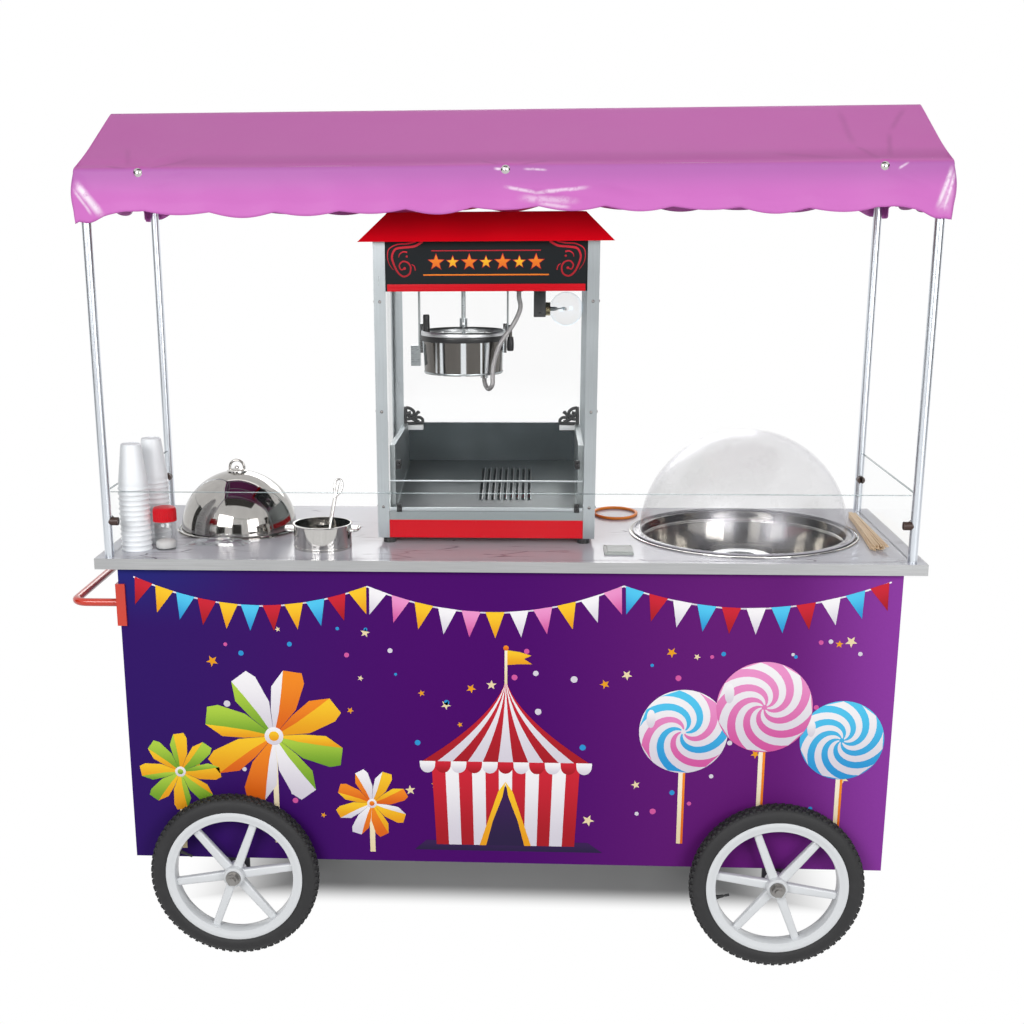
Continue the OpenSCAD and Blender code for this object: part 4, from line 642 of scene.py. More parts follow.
def tube(bm, line, radius, sides, closed=False):
    """Round tube along a line of points, with a frame carried from ring to ring."""
    layer = bm.verts.layers.float.get("along") or bm.verts.layers.float.new("along")
    rings = []
    count = len(line)
    side = None
    run = 0.0
    for i, point in enumerate(line):
        before = line[i - 1] if i or closed else line[0]
        after = line[(i + 1) % count] if i + 1 < count or closed else line[-1]
        along = (after - before).normalized()
        if side is None:
            side = along.orthogonal().normalized()
        side = (side - along * side.dot(along)).normalized()
        up = along.cross(side)
        run += (point - line[i - 1]).length if i else 0.0
        ring = []
        for k in range(sides):
            a = 2 * math.pi * k / sides
            v = bm.verts.new(point + radius * (math.cos(a) * side + math.sin(a) * up))
            v[layer] = run
            ring.append(v)
        rings.append(ring)
    for low, high in zip(rings, rings[1:] + rings[:1] if closed else rings[1:]):
        for k in range(sides):
            j = (k + 1) % sides
            bm.faces.new([low[k], low[j], high[j], high[k]])
    if not closed:
        bm.faces.new(rings[0][::-1])
        bm.faces.new(rings[-1])


def at(point, axis):
    """Matrix that turns +Z to an axis and moves it to a point."""
    turn = Vector((0, 0, 1)).rotation_difference(Vector(axis)).to_matrix().to_4x4()
    return Matrix.Translation(Vector(point)) @ turn


def pan_screw(bm, point, axis, r):
    """Domed screw head."""
    profile = [(r, -0.05 * r), (r, 0), (0.9 * r, 0.24 * r), (0.62 * r, 0.48 * r),
               (0.25 * r, 0.60 * r), (0, 0.62 * r)]
    lathe(bm, profile, 14, at(point, axis))


# The kettle's flexible lead, along its solid's route: points in millimetres from lead_foot
LEAD = [(70, -60, 83.8), (70, -60, 70), (73, -62, 46), (58, -66, 12), (28, -71, -32),
        (14, -73, -76), (11, -73, -102), (11, -73, -119), (9, -70, -128), (3, -61, -135),
        (-2, -50, -135), (-7, -41, -128), (-9, -38, -119), (-9, -38, -112.2)]
lead_foot = Vector((POPPER.x, POPPER.y, KETTLE.z))
lead_line = smooth_line([lead_foot + Vector(point) / 1000 for point in LEAD], 6)
bm = bmesh.new()
tube(bm, lead_line, 0.00525, 14)
lead = finished("kettle_lead_sleeve", bm, lead_finish, None, 60)
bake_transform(lead)
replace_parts(lead, "kettle_lead")
sum((b - a).length for a, b in zip(lead_line, lead_line[1:]))

# Finishes of the CAD nodes that keep their own shapes
NODE_FINISH = {"cart_frame": frame_paint, "cabinet_floor": satin_metal, "front_panel": panel_print,
               "cabinet_panels": side_coat, "door_tracks": satin_metal, "left_door": door_coat,
               "right_door": door_coat, "heat_knob": black_plastic, "countertop": laminate,
               "counter_edge": edge_metal, "canopy_posts": post_metal, "canopy_frame": post_metal,
               "canopy_cover": canopy_finish, "canopy_studs": bright_steel,
               "glass_guards": guard_glass, "glass_clamps": brown_rubber,
               "push_handle": handle_coat, "handle_brackets": handle_coat, "wheel_axles": zinc,
               "axle_nuts": zinc, "popper_base": red_coat, "popper_feet": black_plastic,
               "popper_corners": profile_metal, "popper_tray": tray_finish,
               "crumb_drawer": sheet_steel, "popper_panes": pane_glass,
               "popper_left_door": pane_glass, "popper_right_door": pane_glass,
               "popper_head": sign_black, "popper_roof": roof_coat, "kettle_hangers": sheet_steel,
               "kettle": kettle_finish, "kettle_lid": lid_steel, "kettle_grip": black_plastic,
               "kettle_lead": lead_finish, "stirrer": sheet_steel, "drive_shaft": sheet_steel,
               "stir_motor": motor_coat, "warming_lamp": jar_glass, "candy_bowl": bowl_steel,
               "candy_dome": dome_clear, "spinner": sheet_steel, "bearing_housing": sheet_steel,
               "spin_motor": motor_coat, "motor_pulley": sheet_steel, "drive_belt": brown_rubber,
               "corn_well": bright_steel, "corn_lid": lid_chrome, "cup_stacks": cup_white,
               "salt_shaker": jar_glass, "serving_pot": bright_steel, "candy_sticks": wood_finish}
for corner in CORNERS:
    NODE_FINISH["wheel_" + corner] = wheel_white
    NODE_FINISH["tyre_" + corner] = tyre_finish
for node, material in NODE_FINISH.items():
    mesh = frame["nodes"][node].data
    mesh.materials.clear()
    mesh.materials.append(material)


class Recipe:
    """A geometry tree with named sizes, turned into a plain mesh for each use."""

    def __init__(self, name, **sizes):
        self.tree = bpy.data.node_groups.new(name, "GeometryNodeTree")
        self.keys = {}
        for label, kind in sizes.items():
            kind = "NodeSocket" + kind
            socket = self.tree.interface.new_socket(label, in_out="INPUT", socket_type=kind)
            self.keys[label] = socket.identifier
        self.tree.interface.new_socket("Shape", in_out="OUTPUT", socket_type="NodeSocketGeometry")
        self.given = self.tree.nodes.new("NodeGroupInput")
        self.result = self.tree.nodes.new("NodeGroupOutput")

    def size(self, label):
        return self.given.outputs[label]

    def node(self, kind, settings=None, values=None, out=0):
        made = self.tree.nodes.new(kind)
        for name, value in (settings or {}).items():
            setattr(made, name, value)
        for name, value in (values or {}).items():
            for link in value if isinstance(value, list) else [value]:
                if isinstance(link, bpy.types.NodeSocket):
                    self.tree.links.new(link, made.inputs[name])
                else:
                    made.inputs[name].default_value = link
        return made.outputs[out]

    def sum(self, operation, a, b):
        return self.node("ShaderNodeMath", {"operation": operation}, {0: a, 1: b})

    def dressed(self, shape, finish):
        real = self.node("GeometryNodeRealizeInstances", None, {0: shape})
        return self.node("GeometryNodeSetMaterial", None, {0: real, "Material": self.size(finish)})

    def end(self, *shapes):
        whole = self.node("GeometryNodeJoinGeometry", None, {0: list(shapes)})
        self.tree.links.new(whole, self.result.inputs[0])

    def mesh(self, name, place=None, **sizes):
        holder = bpy.data.objects.new(name, bpy.data.meshes.new(name))
        bpy.context.collection.objects.link(holder)
        modifier = holder.modifiers.new("recipe", "NODES")
        modifier.node_group = self.tree
        for label, value in sizes.items():
            modifier[self.keys[label]] = value
        bpy.context.view_layer.update()
        graph = bpy.context.evaluated_depsgraph_get()
        mesh = bpy.data.meshes.new_from_object(holder.evaluated_get(graph))
        bpy.data.objects.remove(holder)
        if place:
            mesh.transform(place)
        return mesh


def pattern(name, bm):
    """A small shape that recipes repeat; it isn't a piece itself."""
    bmesh.ops.recalc_face_normals(bm, faces=bm.faces)
    return bpy.data.objects.new(name, plain_mesh(name, bm))


# Canopy: one sheet from valance to valance over the ridge, with closed ends
CANOPY_W, CANOPY_D = 0.8822, 0.2922  # half width and half depth
EAVE, RIDGE, HEM, SCALLOP = 1.754, 1.881, 1.670, 0.012
PITCH = (RIDGE - EAVE) / CANOPY_D
EDGE_TURN = 0.005  # rounding of the upright edges
SOFT = 0.010  # rounding of the ridge and the eave
BEND = 0.008  # how far the eave's bend reaches down
STUDS = (-CANOPY_W + 0.130, 0.0, CANOPY_W - 0.130)
STUD_BAY = 0.752
CLOTH_WALL = 0.0012
# Upright creases at the corners of the long sides: place, lean over the drop, and height
CORNER_CREASES = ((-CANOPY_W + 0.004, 0.050, 0.0034), (CANOPY_W - 0.006, -0.022, 0.0034))
# Slanted dents in the valance: place, share of the drop, lean, and height
VALANCE_DENTS = ((0.060, 0.50, 1.6, 0.0022), (0.130, 0.62, 2.4, 0.0020), (0.235, 0.46, 2.0, 0.0014),
                 (-0.700, 0.20, -1.4, 0.0012), (0.790, 0.22, 1.2, 0.0014))


def canopy_plan():
    """Points round the eave: x, y, outward x and y, share of the side's run, and its scallops."""
    plan = []
    w, d = CANOPY_W - EDGE_TURN, CANOPY_D - EDGE_TURN

    def side(a, b, outward, count, lobes):
        for i in range(count):
            k = i / count
            plan.append((a[0] + (b[0] - a[0]) * k, a[1] + (b[1] - a[1]) * k, *outward, k, lobes))

    def corner(cx, cy, start):
        for i in range(7):
            a = math.radians(start + 90 * i / 7)
            ox, oy = math.cos(a), math.sin(a)
            plan.append((cx + EDGE_TURN * ox, cy + EDGE_TURN * oy, ox, oy, 0.0, 0))

    side((-w, -CANOPY_D), (w, -CANOPY_D), (0, -1), 208, 13)
    corner(w, -d, -90)
    side((CANOPY_W, -d), (CANOPY_W, d), (1, 0), 64, 4)
    corner(w, d, 0)
    side((w, CANOPY_D), (-w, CANOPY_D), (0, 1), 208, 13)
    corner(-w, d, 90)
    side((-CANOPY_W, d), (-CANOPY_W, -d), (-1, 0), 64, 4)
    corner(-w, -d, 180)
    return plan


def canopy_levels():
    """Levels from the ridge to the hem: share of the depth, height, and share of the valance."""
    levels = []
    for k in range(25):
        y = (CANOPY_D - SOFT) * k / 24
        dip = 0.5 * (math.sqrt(y * y + SOFT ** 2) - y)
        levels.append((y / CANOPY_D, RIDGE - PITCH * y - PITCH * dip, 0.0))
    for k in range(1, 6):
        a = k / 6
        height = EAVE + SOFT * PITCH * (1 - a) ** 2 - BEND * a * a
        levels.append((1 - SOFT / CANOPY_D * (1 - a) ** 2, height, 0.0))
    for k in range(17):
        levels.append((1.0, EAVE - BEND, k / 16))
    return levels


def slope_height(x, share, z):
    """Height of a slope that sags between the studs, with folds that fan out from them."""
    bay = math.sin(math.pi * (x / STUD_BAY % 1.0)) ** 2
    slack = math.sin(math.pi * min(share, 1.0))
    ripple = 0.0006 * math.sin(9.0 * x + 5.0 * share)
    z -= slack * (0.006 * bay + ripple + 0.0004 * math.sin(17.0 * x - 8.0 * share))
    z -= (0.0022 + 0.0045 * bay) * math.exp(-((share - 0.915) / 0.045) ** 2)
    reach = (1.0 - share) * CANOPY_D
    for stud in STUDS:
        for lean in (-0.62, 0.10, 0.75):
            off = x - stud - lean * reach * (1.0 + 0.8 * reach)
            strength = 1 if lean > 0.5 or stud > 0.5 else 0.6
            z += 0.0016 * math.exp(-(off / 0.010) ** 2 - (reach / 0.13) ** 2) * strength
    return z


def hem_height(x, oy, run, lobes, aside):
    """Height of the scalloped hem, which hangs lower at the corners."""
    beat = 0.75 + 0.25 * math.sin(2.4 * math.floor(run * max(lobes, 1)) + 1.3 * lobes + 2.0 * oy)
    lobe = abs(math.sin(math.pi * run * lobes)) if lobes else 0.55
    tail = 0.021 * math.exp(-(aside / 0.046) ** 4)
    tail -= 0.009 * math.exp(-((aside - 0.095) / 0.034) ** 2)
    return HEM - SCALLOP * beat * lobe - tail + 0.004 * math.sin(5.1 * x + 1.0)


def valance_flare(x, y, long_side, hang, near):
    """How far the valance stands out: soft folds, held in at the studs, and creases."""
    s = x if long_side else y
    fold = 0.0030 * math.sin(2 * math.pi * s / 0.136 + 0.8 * math.sin(4.0 * s))
    fold += 0.0022 * math.sin(19.0 * s + 1.7)
    near_stud = min(abs(x - stud) for stud in STUDS) if long_side else 1.0
    grip = math.exp(-(near_stud / 0.05) ** 2) * math.exp(-(hang / 0.5) ** 2)
    flare = (0.0035 + fold) * hang ** 1.2
    flare += 0.0030 * math.sin(math.pi * min(1.0, hang * 1.4)) * (1 - grip)
    flare += 0.004 * near * math.sin(3.0 * hang)
    if long_side:
        for middle, lean, size in CORNER_CREASES:
            off = x - middle - lean * hang
            fade = math.sin(math.pi * min(1.0, 0.15 + 0.85 * hang))
            flare += size * math.exp(-(off / 0.0085) ** 2) * fade
        for middle, drop, lean, size in VALANCE_DENTS:
            off = (hang - drop) * 0.084 - (x - middle) / 3.0 / lean
            flare += size * math.exp(-(off / 0.007) ** 2 - ((x - middle) / 0.055) ** 2)
    return flare


def canopy():
    plan = canopy_plan()
    bm = bmesh.new()
    rings = []
    for share, height, hang in canopy_levels():
        ring = []
        for x, y, ox, oy, run, lobes in plan:
            px, py, z = x, y * share, height
            long_side = abs(oy) > 0.9
            gap_x, gap_y = CANOPY_W - abs(x), CANOPY_D - abs(y)
            near = math.exp(-(gap_x / 0.05) ** 2 - (gap_y / 0.05) ** 2)
            ear = near * max(0.0, (share - 0.6) / 0.4) ** 2
            px += math.copysign(0.0055 * ear, x)
            py += math.copysign(0.0030 * ear, y)
            if hang:
                z = height - (height - hem_height(x, oy, run, lobes, max(gap_x, gap_y))) * hang
                flare = valance_flare(x, y, long_side, hang, near)
                px += ox * flare
                py += oy * flare
            elif long_side:
                z = slope_height(x, share, height)
            ring.append(bm.verts.new((MID + px, py, z)))
        rings.append(ring)
    for low, high in zip(rings, rings[1:]):
        for i in range(len(plan)):
            j = (i + 1) % len(plan)
            bm.faces.new([low[i], low[j], high[j], high[i]])
    bmesh.ops.remove_doubles(bm, verts=bm.verts, dist=0.00005)
    bmesh.ops.dissolve_degenerate(bm, edges=bm.edges, dist=0.00001)
    bmesh.ops.recalc_face_normals(bm, faces=bm.faces)
    spot = Vector((MID, -0.15, 1.815))
    middle = min(bm.faces, key=lambda f: (f.calc_center_median() - spot).length)
    if middle.normal.z < 0:
        bmesh.ops.reverse_faces(bm, faces=bm.faces)
    piece = finished("canopy_sheet", bm, canopy_finish, "cart", 180, merge=0,
                     outward=False)
    wall = piece.modifiers.new("cloth", "SOLIDIFY")
    wall.thickness = CLOTH_WALL
    wall.offset = -1.0
    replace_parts(piece, "canopy_cover")


canopy()


# Wheels: white moulded rims, and tyres with rows of tread blocks
def wheel_place(side_x, side_y):
    middle = Matrix.Translation((MID + side_x * AXLE.x, side_y * AXLE.y, AXLE.z))
    facing = Matrix.Rotation(math.pi, 4, "Z") if side_y > 0 else Matrix.Identity(4)
    return middle @ facing @ UPRIGHT


RIM = [(0.1366, -0.0165), (0.1378, -0.0184), (0.1400, -0.0190), (0.1560, -0.0190),
       (0.1578, -0.0184), (0.1583, -0.0172), (0.1572, -0.0162), (0.1508, -0.0156), (0.1505, 0.0),
       (0.1508, 0.0156), (0.1572, 0.0162), (0.1583, 0.0172), (0.1578, 0.0184), (0.1560, 0.0190),
       (0.1470, 0.0188), (0.1455, 0.0178), (0.1400, 0.0178), (0.1378, 0.0172), (0.1366, 0.0150),
       (0.1362, 0.0)]
HUB = [(0.0086, -0.0238), (0.0215, -0.0240), (0.0236, -0.0225), (0.0240, -0.0200), (0.0240, 0.0190),
       (0.0232, 0.0222), (0.0212, 0.0240), (0.0175, 0.0240), (0.0165, 0.0230), (0.0086, 0.0230)]
TYRE = [(0.1512, -0.0150), (0.1590, -0.0168), (0.1612, -0.0196), (0.1660, -0.0214),
        (0.1725, -0.0223), (0.1790, -0.0213), (0.1840, -0.0192), (0.1878, -0.0160),
        (0.1900, -0.0118), (0.1912, -0.0060), (0.1915, 0.0), (0.1912, 0.0060), (0.1900, 0.0118),
        (0.1878, 0.0160), (0.1840, 0.0192), (0.1790, 0.0213), (0.1725, 0.0223), (0.1660, 0.0214),
        (0.1612, 0.0196), (0.1590, 0.0168), (0.1512, 0.0150), (0.1516, 0.0)]
SPOKES, SPOKE_ROOT, SPOKE_LENGTH = 6, 0.0195, 0.1185
SPOKE_WIDE, SPOKE_DEEP = (0.021, 0.0175), (0.0165, 0.0150)  # at the hub and at the rim


def spoke(bm, angle, place):
    made = bmesh.ops.create_cube(bm, size=1.0)["verts"]
    turn = Matrix.Rotation(angle, 4, "Z")
    for v in made:
        out = v.co.x + 0.5
        wide, deep = (root + (tip - root) * out for root, tip in (SPOKE_WIDE, SPOKE_DEEP))
        v.co = Vector((SPOKE_ROOT + out * SPOKE_LENGTH, v.co.y * wide, v.co.z * deep))
    edges = list({e for v in made for e in v.link_edges})
    shaped = bmesh.ops.bevel(bm, geom=edges, offset=0.0042, segments=3, affect="EDGES", profile=0.6)
    for v in {v for f in shaped["faces"] for v in f.verts} | {v for v in made if v.is_valid}:
        v.co = place @ turn @ v.co


TREAD_BLOCKS, TREAD_RADIUS, TREAD_GAP = 72, 0.1908, 0.0128
tread = Recipe("tread_rows", Blocks="Int", Radius="Float", Gap="Float", Block="Object",
               Edge="Object", Rubber="Material")
ring = tread.node("GeometryNodeMeshCircle", None,
                  {"Vertices": tread.size("Blocks"), "Radius": tread.size("Radius")})
outwards = tread.node("FunctionNodeAlignRotationToVector", {"axis": "X"},
                      {"Vector": tread.node("GeometryNodeInputPosition")})
# Rows across the tyre: place as a share of the gap, shape, and the half step of every second row
TREAD_ROWS = ((-1.0, "Edge", math.pi), (-0.36, "Block", 0.0), (0.36, "Block", math.pi),
              (1.0, "Edge", 0.0))
rows = []
for k, shape, step in TREAD_ROWS:
    source = tread.node("GeometryNodeObjectInfo", None, {"Object": tread.size(shape)}, "Geometry")
    blocks = tread.node("GeometryNodeInstanceOnPoints", None,
                        {"Points": ring, "Instance": source, "Rotation": outwards})
    shift = tread.sum("MULTIPLY", tread.size("Gap"), k)
    lift = tread.node("ShaderNodeCombineXYZ", None, {2: shift})
    half = tread.sum("DIVIDE", step, tread.size("Blocks"))
    twist = tread.node("ShaderNodeCombineXYZ", None, {2: half})
    rows.append(tread.node("GeometryNodeTransform", None,
                           {0: blocks, "Translation": lift, "Rotation": twist}))
tread.end(tread.dressed(tread.node("GeometryNodeJoinGeometry", None, {0: rows}), "Rubber"))
small = bmesh.new()
block(small, (-0.0022, -0.0042, -0.0031), (0.0041, 0.0042, 0.0031))
tread_block = pattern("tread_block", small)
small = bmesh.new()
block(small, (-0.0036, -0.0036, -0.0030), (0.0018, 0.0036, 0.0030))
tread_edge = pattern("tread_edge", small)

for corner, (side_x, side_y) in CORNERS.items():
    place = wheel_place(side_x, side_y)
    body = "wheel_" + corner
    first = math.radians(9 if side_x < 0 else -9)
    bm = bmesh.new()
    lathe(bm, RIM, 96, place, closed=True)
    lathe(bm, HUB, 40, place, closed=True)
    for k in range(SPOKES):
        spoke(bm, first + k * math.pi / (SPOKES / 2), place)
    rim = finished("rim_" + corner, bm, wheel_white, body, 38)
    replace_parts(rim, "wheel_" + corner)
    bm = bmesh.new()
    lathe(bm, TYRE, 96, place, closed=True)
    valve = math.radians(157 if side_x < 0 else 194)
    stem = place @ Matrix.Rotation(valve, 4, "Z") @ Matrix.Translation((0.1362, 0, 0))
    stem = stem @ Matrix.Rotation(-math.pi / 2, 4, "Y")
    lathe(bm, [(0, 0.030), (0.0022, 0.0298), (0.0030, 0.0286), (0.0030, 0.0205), (0.0024, 0.0200),
               (0.0024, 0.0165), (0.0034, 0.0155), (0.0040, 0.0060), (0.0052, 0.0022),
               (0.0054, -0.0008), (0, -0.0008)], 16, stem)
    casing = finished("casing_" + corner, bm, tyre_finish, body, 50)
    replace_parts(casing, "tyre_" + corner)
    grip = tread.mesh("tread_" + corner, place, Blocks=TREAD_BLOCKS, Radius=TREAD_RADIUS,
                      Gap=TREAD_GAP, Block=tread_block, Edge=tread_edge, Rubber=tyre_finish)
    placed("tread_" + corner, grip, body)

# Loose goods on the counter
CUPS, CUP_STEP = 13, 0.0115  # cups in a stack, and how far each stands out of the next
cup_profile = [(0.0, 0.0)]
for k in range(CUPS):
    z = k * CUP_STEP
    cup_profile += [(0.0330, z), (0.0342, z + 0.0004), (0.0347, z + 0.0016), (0.0347, z + 0.0030),
                    (0.0340, z + 0.0040), (0.0329, z + 0.0042), (0.0326, z + 0.0065),
                    (0.0322, z + 0.0108)]
top = CUPS * CUP_STEP
cup_profile += [(0.0324, top), (0.0321, top + 0.010), (0.0316, top + 0.012), (0.0315, top + 0.014),
                (0.0225, top + 0.0870), (0.0216, top + 0.0896), (0.0204, top + 0.0900),
                (0.0198, top + 0.0885), (0.0, top + 0.0880)]
bm = bmesh.new()
for x, y in ((MID - 0.829, -0.203), (MID - 0.805, -0.120)):
    lathe(bm, cup_profile, 48, Matrix.Translation((x, y, COUNTER)))
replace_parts(finished("paper_cups", bm, cup_white, "cart", 55), "cup_stacks")

SHAKER = Matrix.Translation((MID - 0.764, -0.195, COUNTER))
jar_profile = [(0, 0), (0.0222, 0), (0.0244, 0.0012), (0.0250, 0.004), (0.0250, 0.052),
               (0.0240, 0.058), (0.0228, 0.060), (0.0228, 0.0642), (0.0212, 0.0642),
               (0.0212, 0.0590), (0.0228, 0.0520), (0.0230, 0.0055), (0.0215, 0.0030), (0, 0.0028)]
jar = turned("shaker_jar", jar_profile, 48, SHAKER, jar_glass, "cart", 40)
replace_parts(jar, "salt_shaker")
salt_profile = [(0, 0.0034), (0.0210, 0.0034), (0.0224, 0.0060), (0.0226, 0.0150), (0.0200, 0.0190),
                (0.0120, 0.0215), (0, 0.0225)]
turned("shaker_salt", salt_profile, 40, SHAKER, salt_finish, "cart", 60)
FLUTES = 56  # ridges and grooves round the shaker's cap
bm = bmesh.new()
flutes = [(r * math.cos(a), r * math.sin(a)) for r, a in
          ((0.0264 if i % 2 else 0.0252, 2 * math.pi * i / FLUTES) for i in range(FLUTES))]
prism(bm, flutes, 0.0645, 0.0890, SHAKER)
lathe(bm, [(0.0252, 0.0888), (0.0252, 0.0925), (0.0236, 0.0950), (0.0200, 0.0960), (0, 0.0962)], 56,
      SHAKER)
lathe(bm, [(0.0262, 0.0642), (0.0267, 0.0648), (0.0267, 0.0668), (0.0258, 0.0674)], 56, SHAKER)
finished("shaker_cap", bm, red_coat, "cart", 25)

bm = bmesh.new()
rim = Matrix.Translation(POT)
lathe(bm, [(0.0640, 0.0535), (0.0652, 0.0545), (0.0668, 0.0550), (0.0676, 0.0538), (0.0670, 0.0526),
           (0.0652, 0.0524)], 72, rim)
lathe(bm, [(0.0651, 0.0035), (0.0656, 0.0040), (0.0656, 0.0060), (0.0651, 0.0066)], 72, rim)
finished("pot_rolled_rim", bm, bright_steel, "cart", 50)
EAR = [(0.064, -0.019, 0.040), (0.078, -0.018, 0.042), (0.083, -0.010, 0.044), (0.084, 0.0, 0.0445),
       (0.083, 0.010, 0.044), (0.078, 0.018, 0.042), (0.064, 0.019, 0.040)]
bm = bmesh.new()
for side in (-1, 1):
    ear = [(POT.x + side * x, POT.y + y, POT.z + z) for x, y, z in EAR]
    tube(bm, smooth_line(ear, 6), 0.0030, 10)
    for y in (-0.019, 0.019):
        pan_screw(bm, (POT.x + side * 0.0625, POT.y + y, POT.z + 0.040), (side, 0.0, 0.0), 0.0050)
grip_top = [(0.012, 0.026, 0.050), (0.018, 0.041, 0.085), (0.022, 0.051, 0.110),
            (0.021, 0.055, 0.128), (0.026, 0.059, 0.141), (0.035, 0.060, 0.143),
            (0.040, 0.057, 0.132), (0.036, 0.053, 0.116), (0.028, 0.051, 0.108),
            (0.021, 0.047, 0.098)]
tube(bm, smooth_line([POT + Vector(p) for p in grip_top], 6), 0.0022, 10)
finished("pot_ears_and_ladle_wire", bm, bright_steel, "cart", 60)

RING_X, RING_Y = MID + 0.264, 0.212
bm = bmesh.new()
ring_line = []
for i in range(64):
    a = 2 * math.pi * i / 64
    wide = 0.052 + 0.0015 * math.sin(3 * a)
    ring_line.append(Vector((RING_X + wide * math.cos(a), RING_Y + 0.066 * math.sin(a),
                             COUNTER + 0.0036)))
tube(bm, ring_line, 0.0036, 10, closed=True)
rubber_orange = moulded("rubber_orange", (0.98, 0.265, 0.010), 0.45, drift=0.04)
finished("rubber_ring", bm, rubber_orange, "cart", 60)
bm = bmesh.new()
block(bm, (MID + 0.219, -0.228, COUNTER), (MID + 0.283, -0.150, COUNTER + 0.0045), 0.0014)
block(bm, (MID + 0.226, -0.221, COUNTER + 0.004), (MID + 0.276, -0.157, COUNTER + 0.0062), 0.0008)
for x in (0.223, 0.279):
    for y in (-0.224, -0.154):
        pan_screw(bm, (MID + x, y, COUNTER + 0.0045), (0, 0, 1), 0.0022)
plate_grey = painted("plate_grey", (0.36, 0.385, 0.365), 0.4, coat=0.05, shine=0.25)
finished("cover_plate", bm, plate_grey, "cart", 40)

# Clear crumpled bag in front of the corn cooker
bm = bmesh.new()
bag_film = clear("bag_film", (0.82, 0.86, 0.88), 0.16, 0.8, 0.06, 0.22)
bag_rows = []
for i in range(25):
    u = i / 12 - 1
    row = []
    for j in range(15):
        v = j / 7 - 1
        puff = 0.011 * (1 - u ** 4) * (1 - v ** 4)
        crumple = 0.0035 * math.sin(5.0 * u + 3.1 * v + 1.0) * math.sin(7.3 * v - 2.2 * u)
        crumple += 0.0022 * math.sin(13.0 * u - 9.0 * v)
        x = -0.618 + 0.068 * u * (1 + 0.05 * math.sin(4.0 * v)) + 0.008 * v
        y = -0.148 + 0.024 * v * (1 + 0.12 * math.sin(3.0 * u + 0.5))
        z = max(0.0, puff + crumple * (1 - u * u) * (1 - v * v))
        row.append(bm.verts.new((x, y, COUNTER + 0.0012 + z)))
    bag_rows.append(row)
for low, high in zip(bag_rows, bag_rows[1:]):
    for j in range(14):
        bm.faces.new((low[j], high[j], high[j + 1], low[j + 1]))
base_line = [row[0] for row in bag_rows] + bag_rows[-1][1:]
base_line += [row[-1] for row in bag_rows[-2::-1]] + bag_rows[0][-2:0:-1]
bm.faces.new(base_line[::-1])
finished("clear_bag", bm, bag_film, "cart", 60)

# Bundle of wooden sticks: straight, slightly fanned, in rough layers
fan = Recipe("stick_bundle", Count="Int", Width="Float", Spread="Float", Seed="Int", Stick="Object",
             Wood="Material")
row = fan.node("GeometryNodeMeshLine", None,
               {"Count": fan.size("Count"), "Offset": (0.0, 0.0, 0.0)})
spot = fan.node("FunctionNodeRandomValue", {"data_type": "FLOAT"},
                {2: -1.0, 3: 1.0, "Seed": fan.size("Seed")}, 1)
swing = fan.node("FunctionNodeRandomValue", {"data_type": "FLOAT"},
                 {2: -1.0, 3: 1.0, "Seed": fan.sum("ADD", fan.size("Seed"), 7)}, 1)
slip = fan.node("FunctionNodeRandomValue", {"data_type": "FLOAT"},
                {2: -0.008, 3: 0.008, "Seed": fan.sum("ADD", fan.size("Seed"), 3)}, 1)
layer = fan.sum("MODULO", fan.node("GeometryNodeInputIndex"), 3.0)
across = fan.sum("MULTIPLY", fan.size("Width"), spot)
height = fan.sum("MULTIPLY", layer, 0.0042)
where = fan.node("ShaderNodeCombineXYZ", None, {0: across, 1: slip, 2: height})
spread_row = fan.node("GeometryNodeSetPosition", None, {0: row, "Position": where})
lean = fan.sum("ADD", fan.sum("MULTIPLY", swing, fan.size("Spread")),
               fan.sum("MULTIPLY", spot, 0.028))
stick_turn = fan.node("ShaderNodeCombineXYZ", None, {2: lean})
one_stick = fan.node("GeometryNodeObjectInfo", None, {"Object": fan.size("Stick")}, "Geometry")
sticks = fan.node("GeometryNodeInstanceOnPoints", None,
                  {"Points": spread_row, "Instance": one_stick, "Rotation": stick_turn})
fan.end(fan.dressed(sticks, "Wood"))
small = bmesh.new()
lathe(small, [(0, -0.180), (0.0016, -0.1797), (0.0021, -0.1785), (0.0022, 0.0), (0.0021, 0.1785),
              (0.0016, 0.1797), (0, 0.180)], 10, Matrix.Rotation(-math.pi / 2, 4, "X"))
stick = pattern("one_stick", small)
bundle_place = Matrix.Translation((MID + 0.832, 0.012, COUNTER + 0.0025))
bundle_place = bundle_place @ Matrix.Rotation(-0.044, 4, "Z")
bundle = fan.mesh("stick_bundle", bundle_place, Count=27, Width=0.013, Spread=0.020, Seed=4,
                  Stick=stick, Wood=wood_finish)
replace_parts(placed("stick_bundle", bundle, "cart", 50), "candy_sticks")

# Corn cooker: rivet base under the lid's loop, and a rolled rim
lid_top = Matrix.Translation(WELL + Vector((0, 0, 0.0027 + 0.137)))
bm = bmesh.new()
lathe(bm, [(0, 0.0066), (0.006, 0.0064), (0.0120, 0.0054), (0.0200, 0.0030), (0.0245, 0.0008),
           (0.0250, -0.0022), (0, -0.0022)], 36, lid_top)
lathe(bm, [(0, 0.0125), (0.0030, 0.0118), (0.0052, 0.0095), (0.0056, 0.0064), (0, 0.0060)], 20,
      lid_top)
lathe(bm, [(0.1405, -0.1365), (0.1440, -0.1362), (0.1452, -0.1345), (0.1440, -0.1328),
           (0.1405, -0.1325)], 96, lid_top)
finished("lid_rivet_and_rim", bm, bright_steel, "corn_lid", 40)

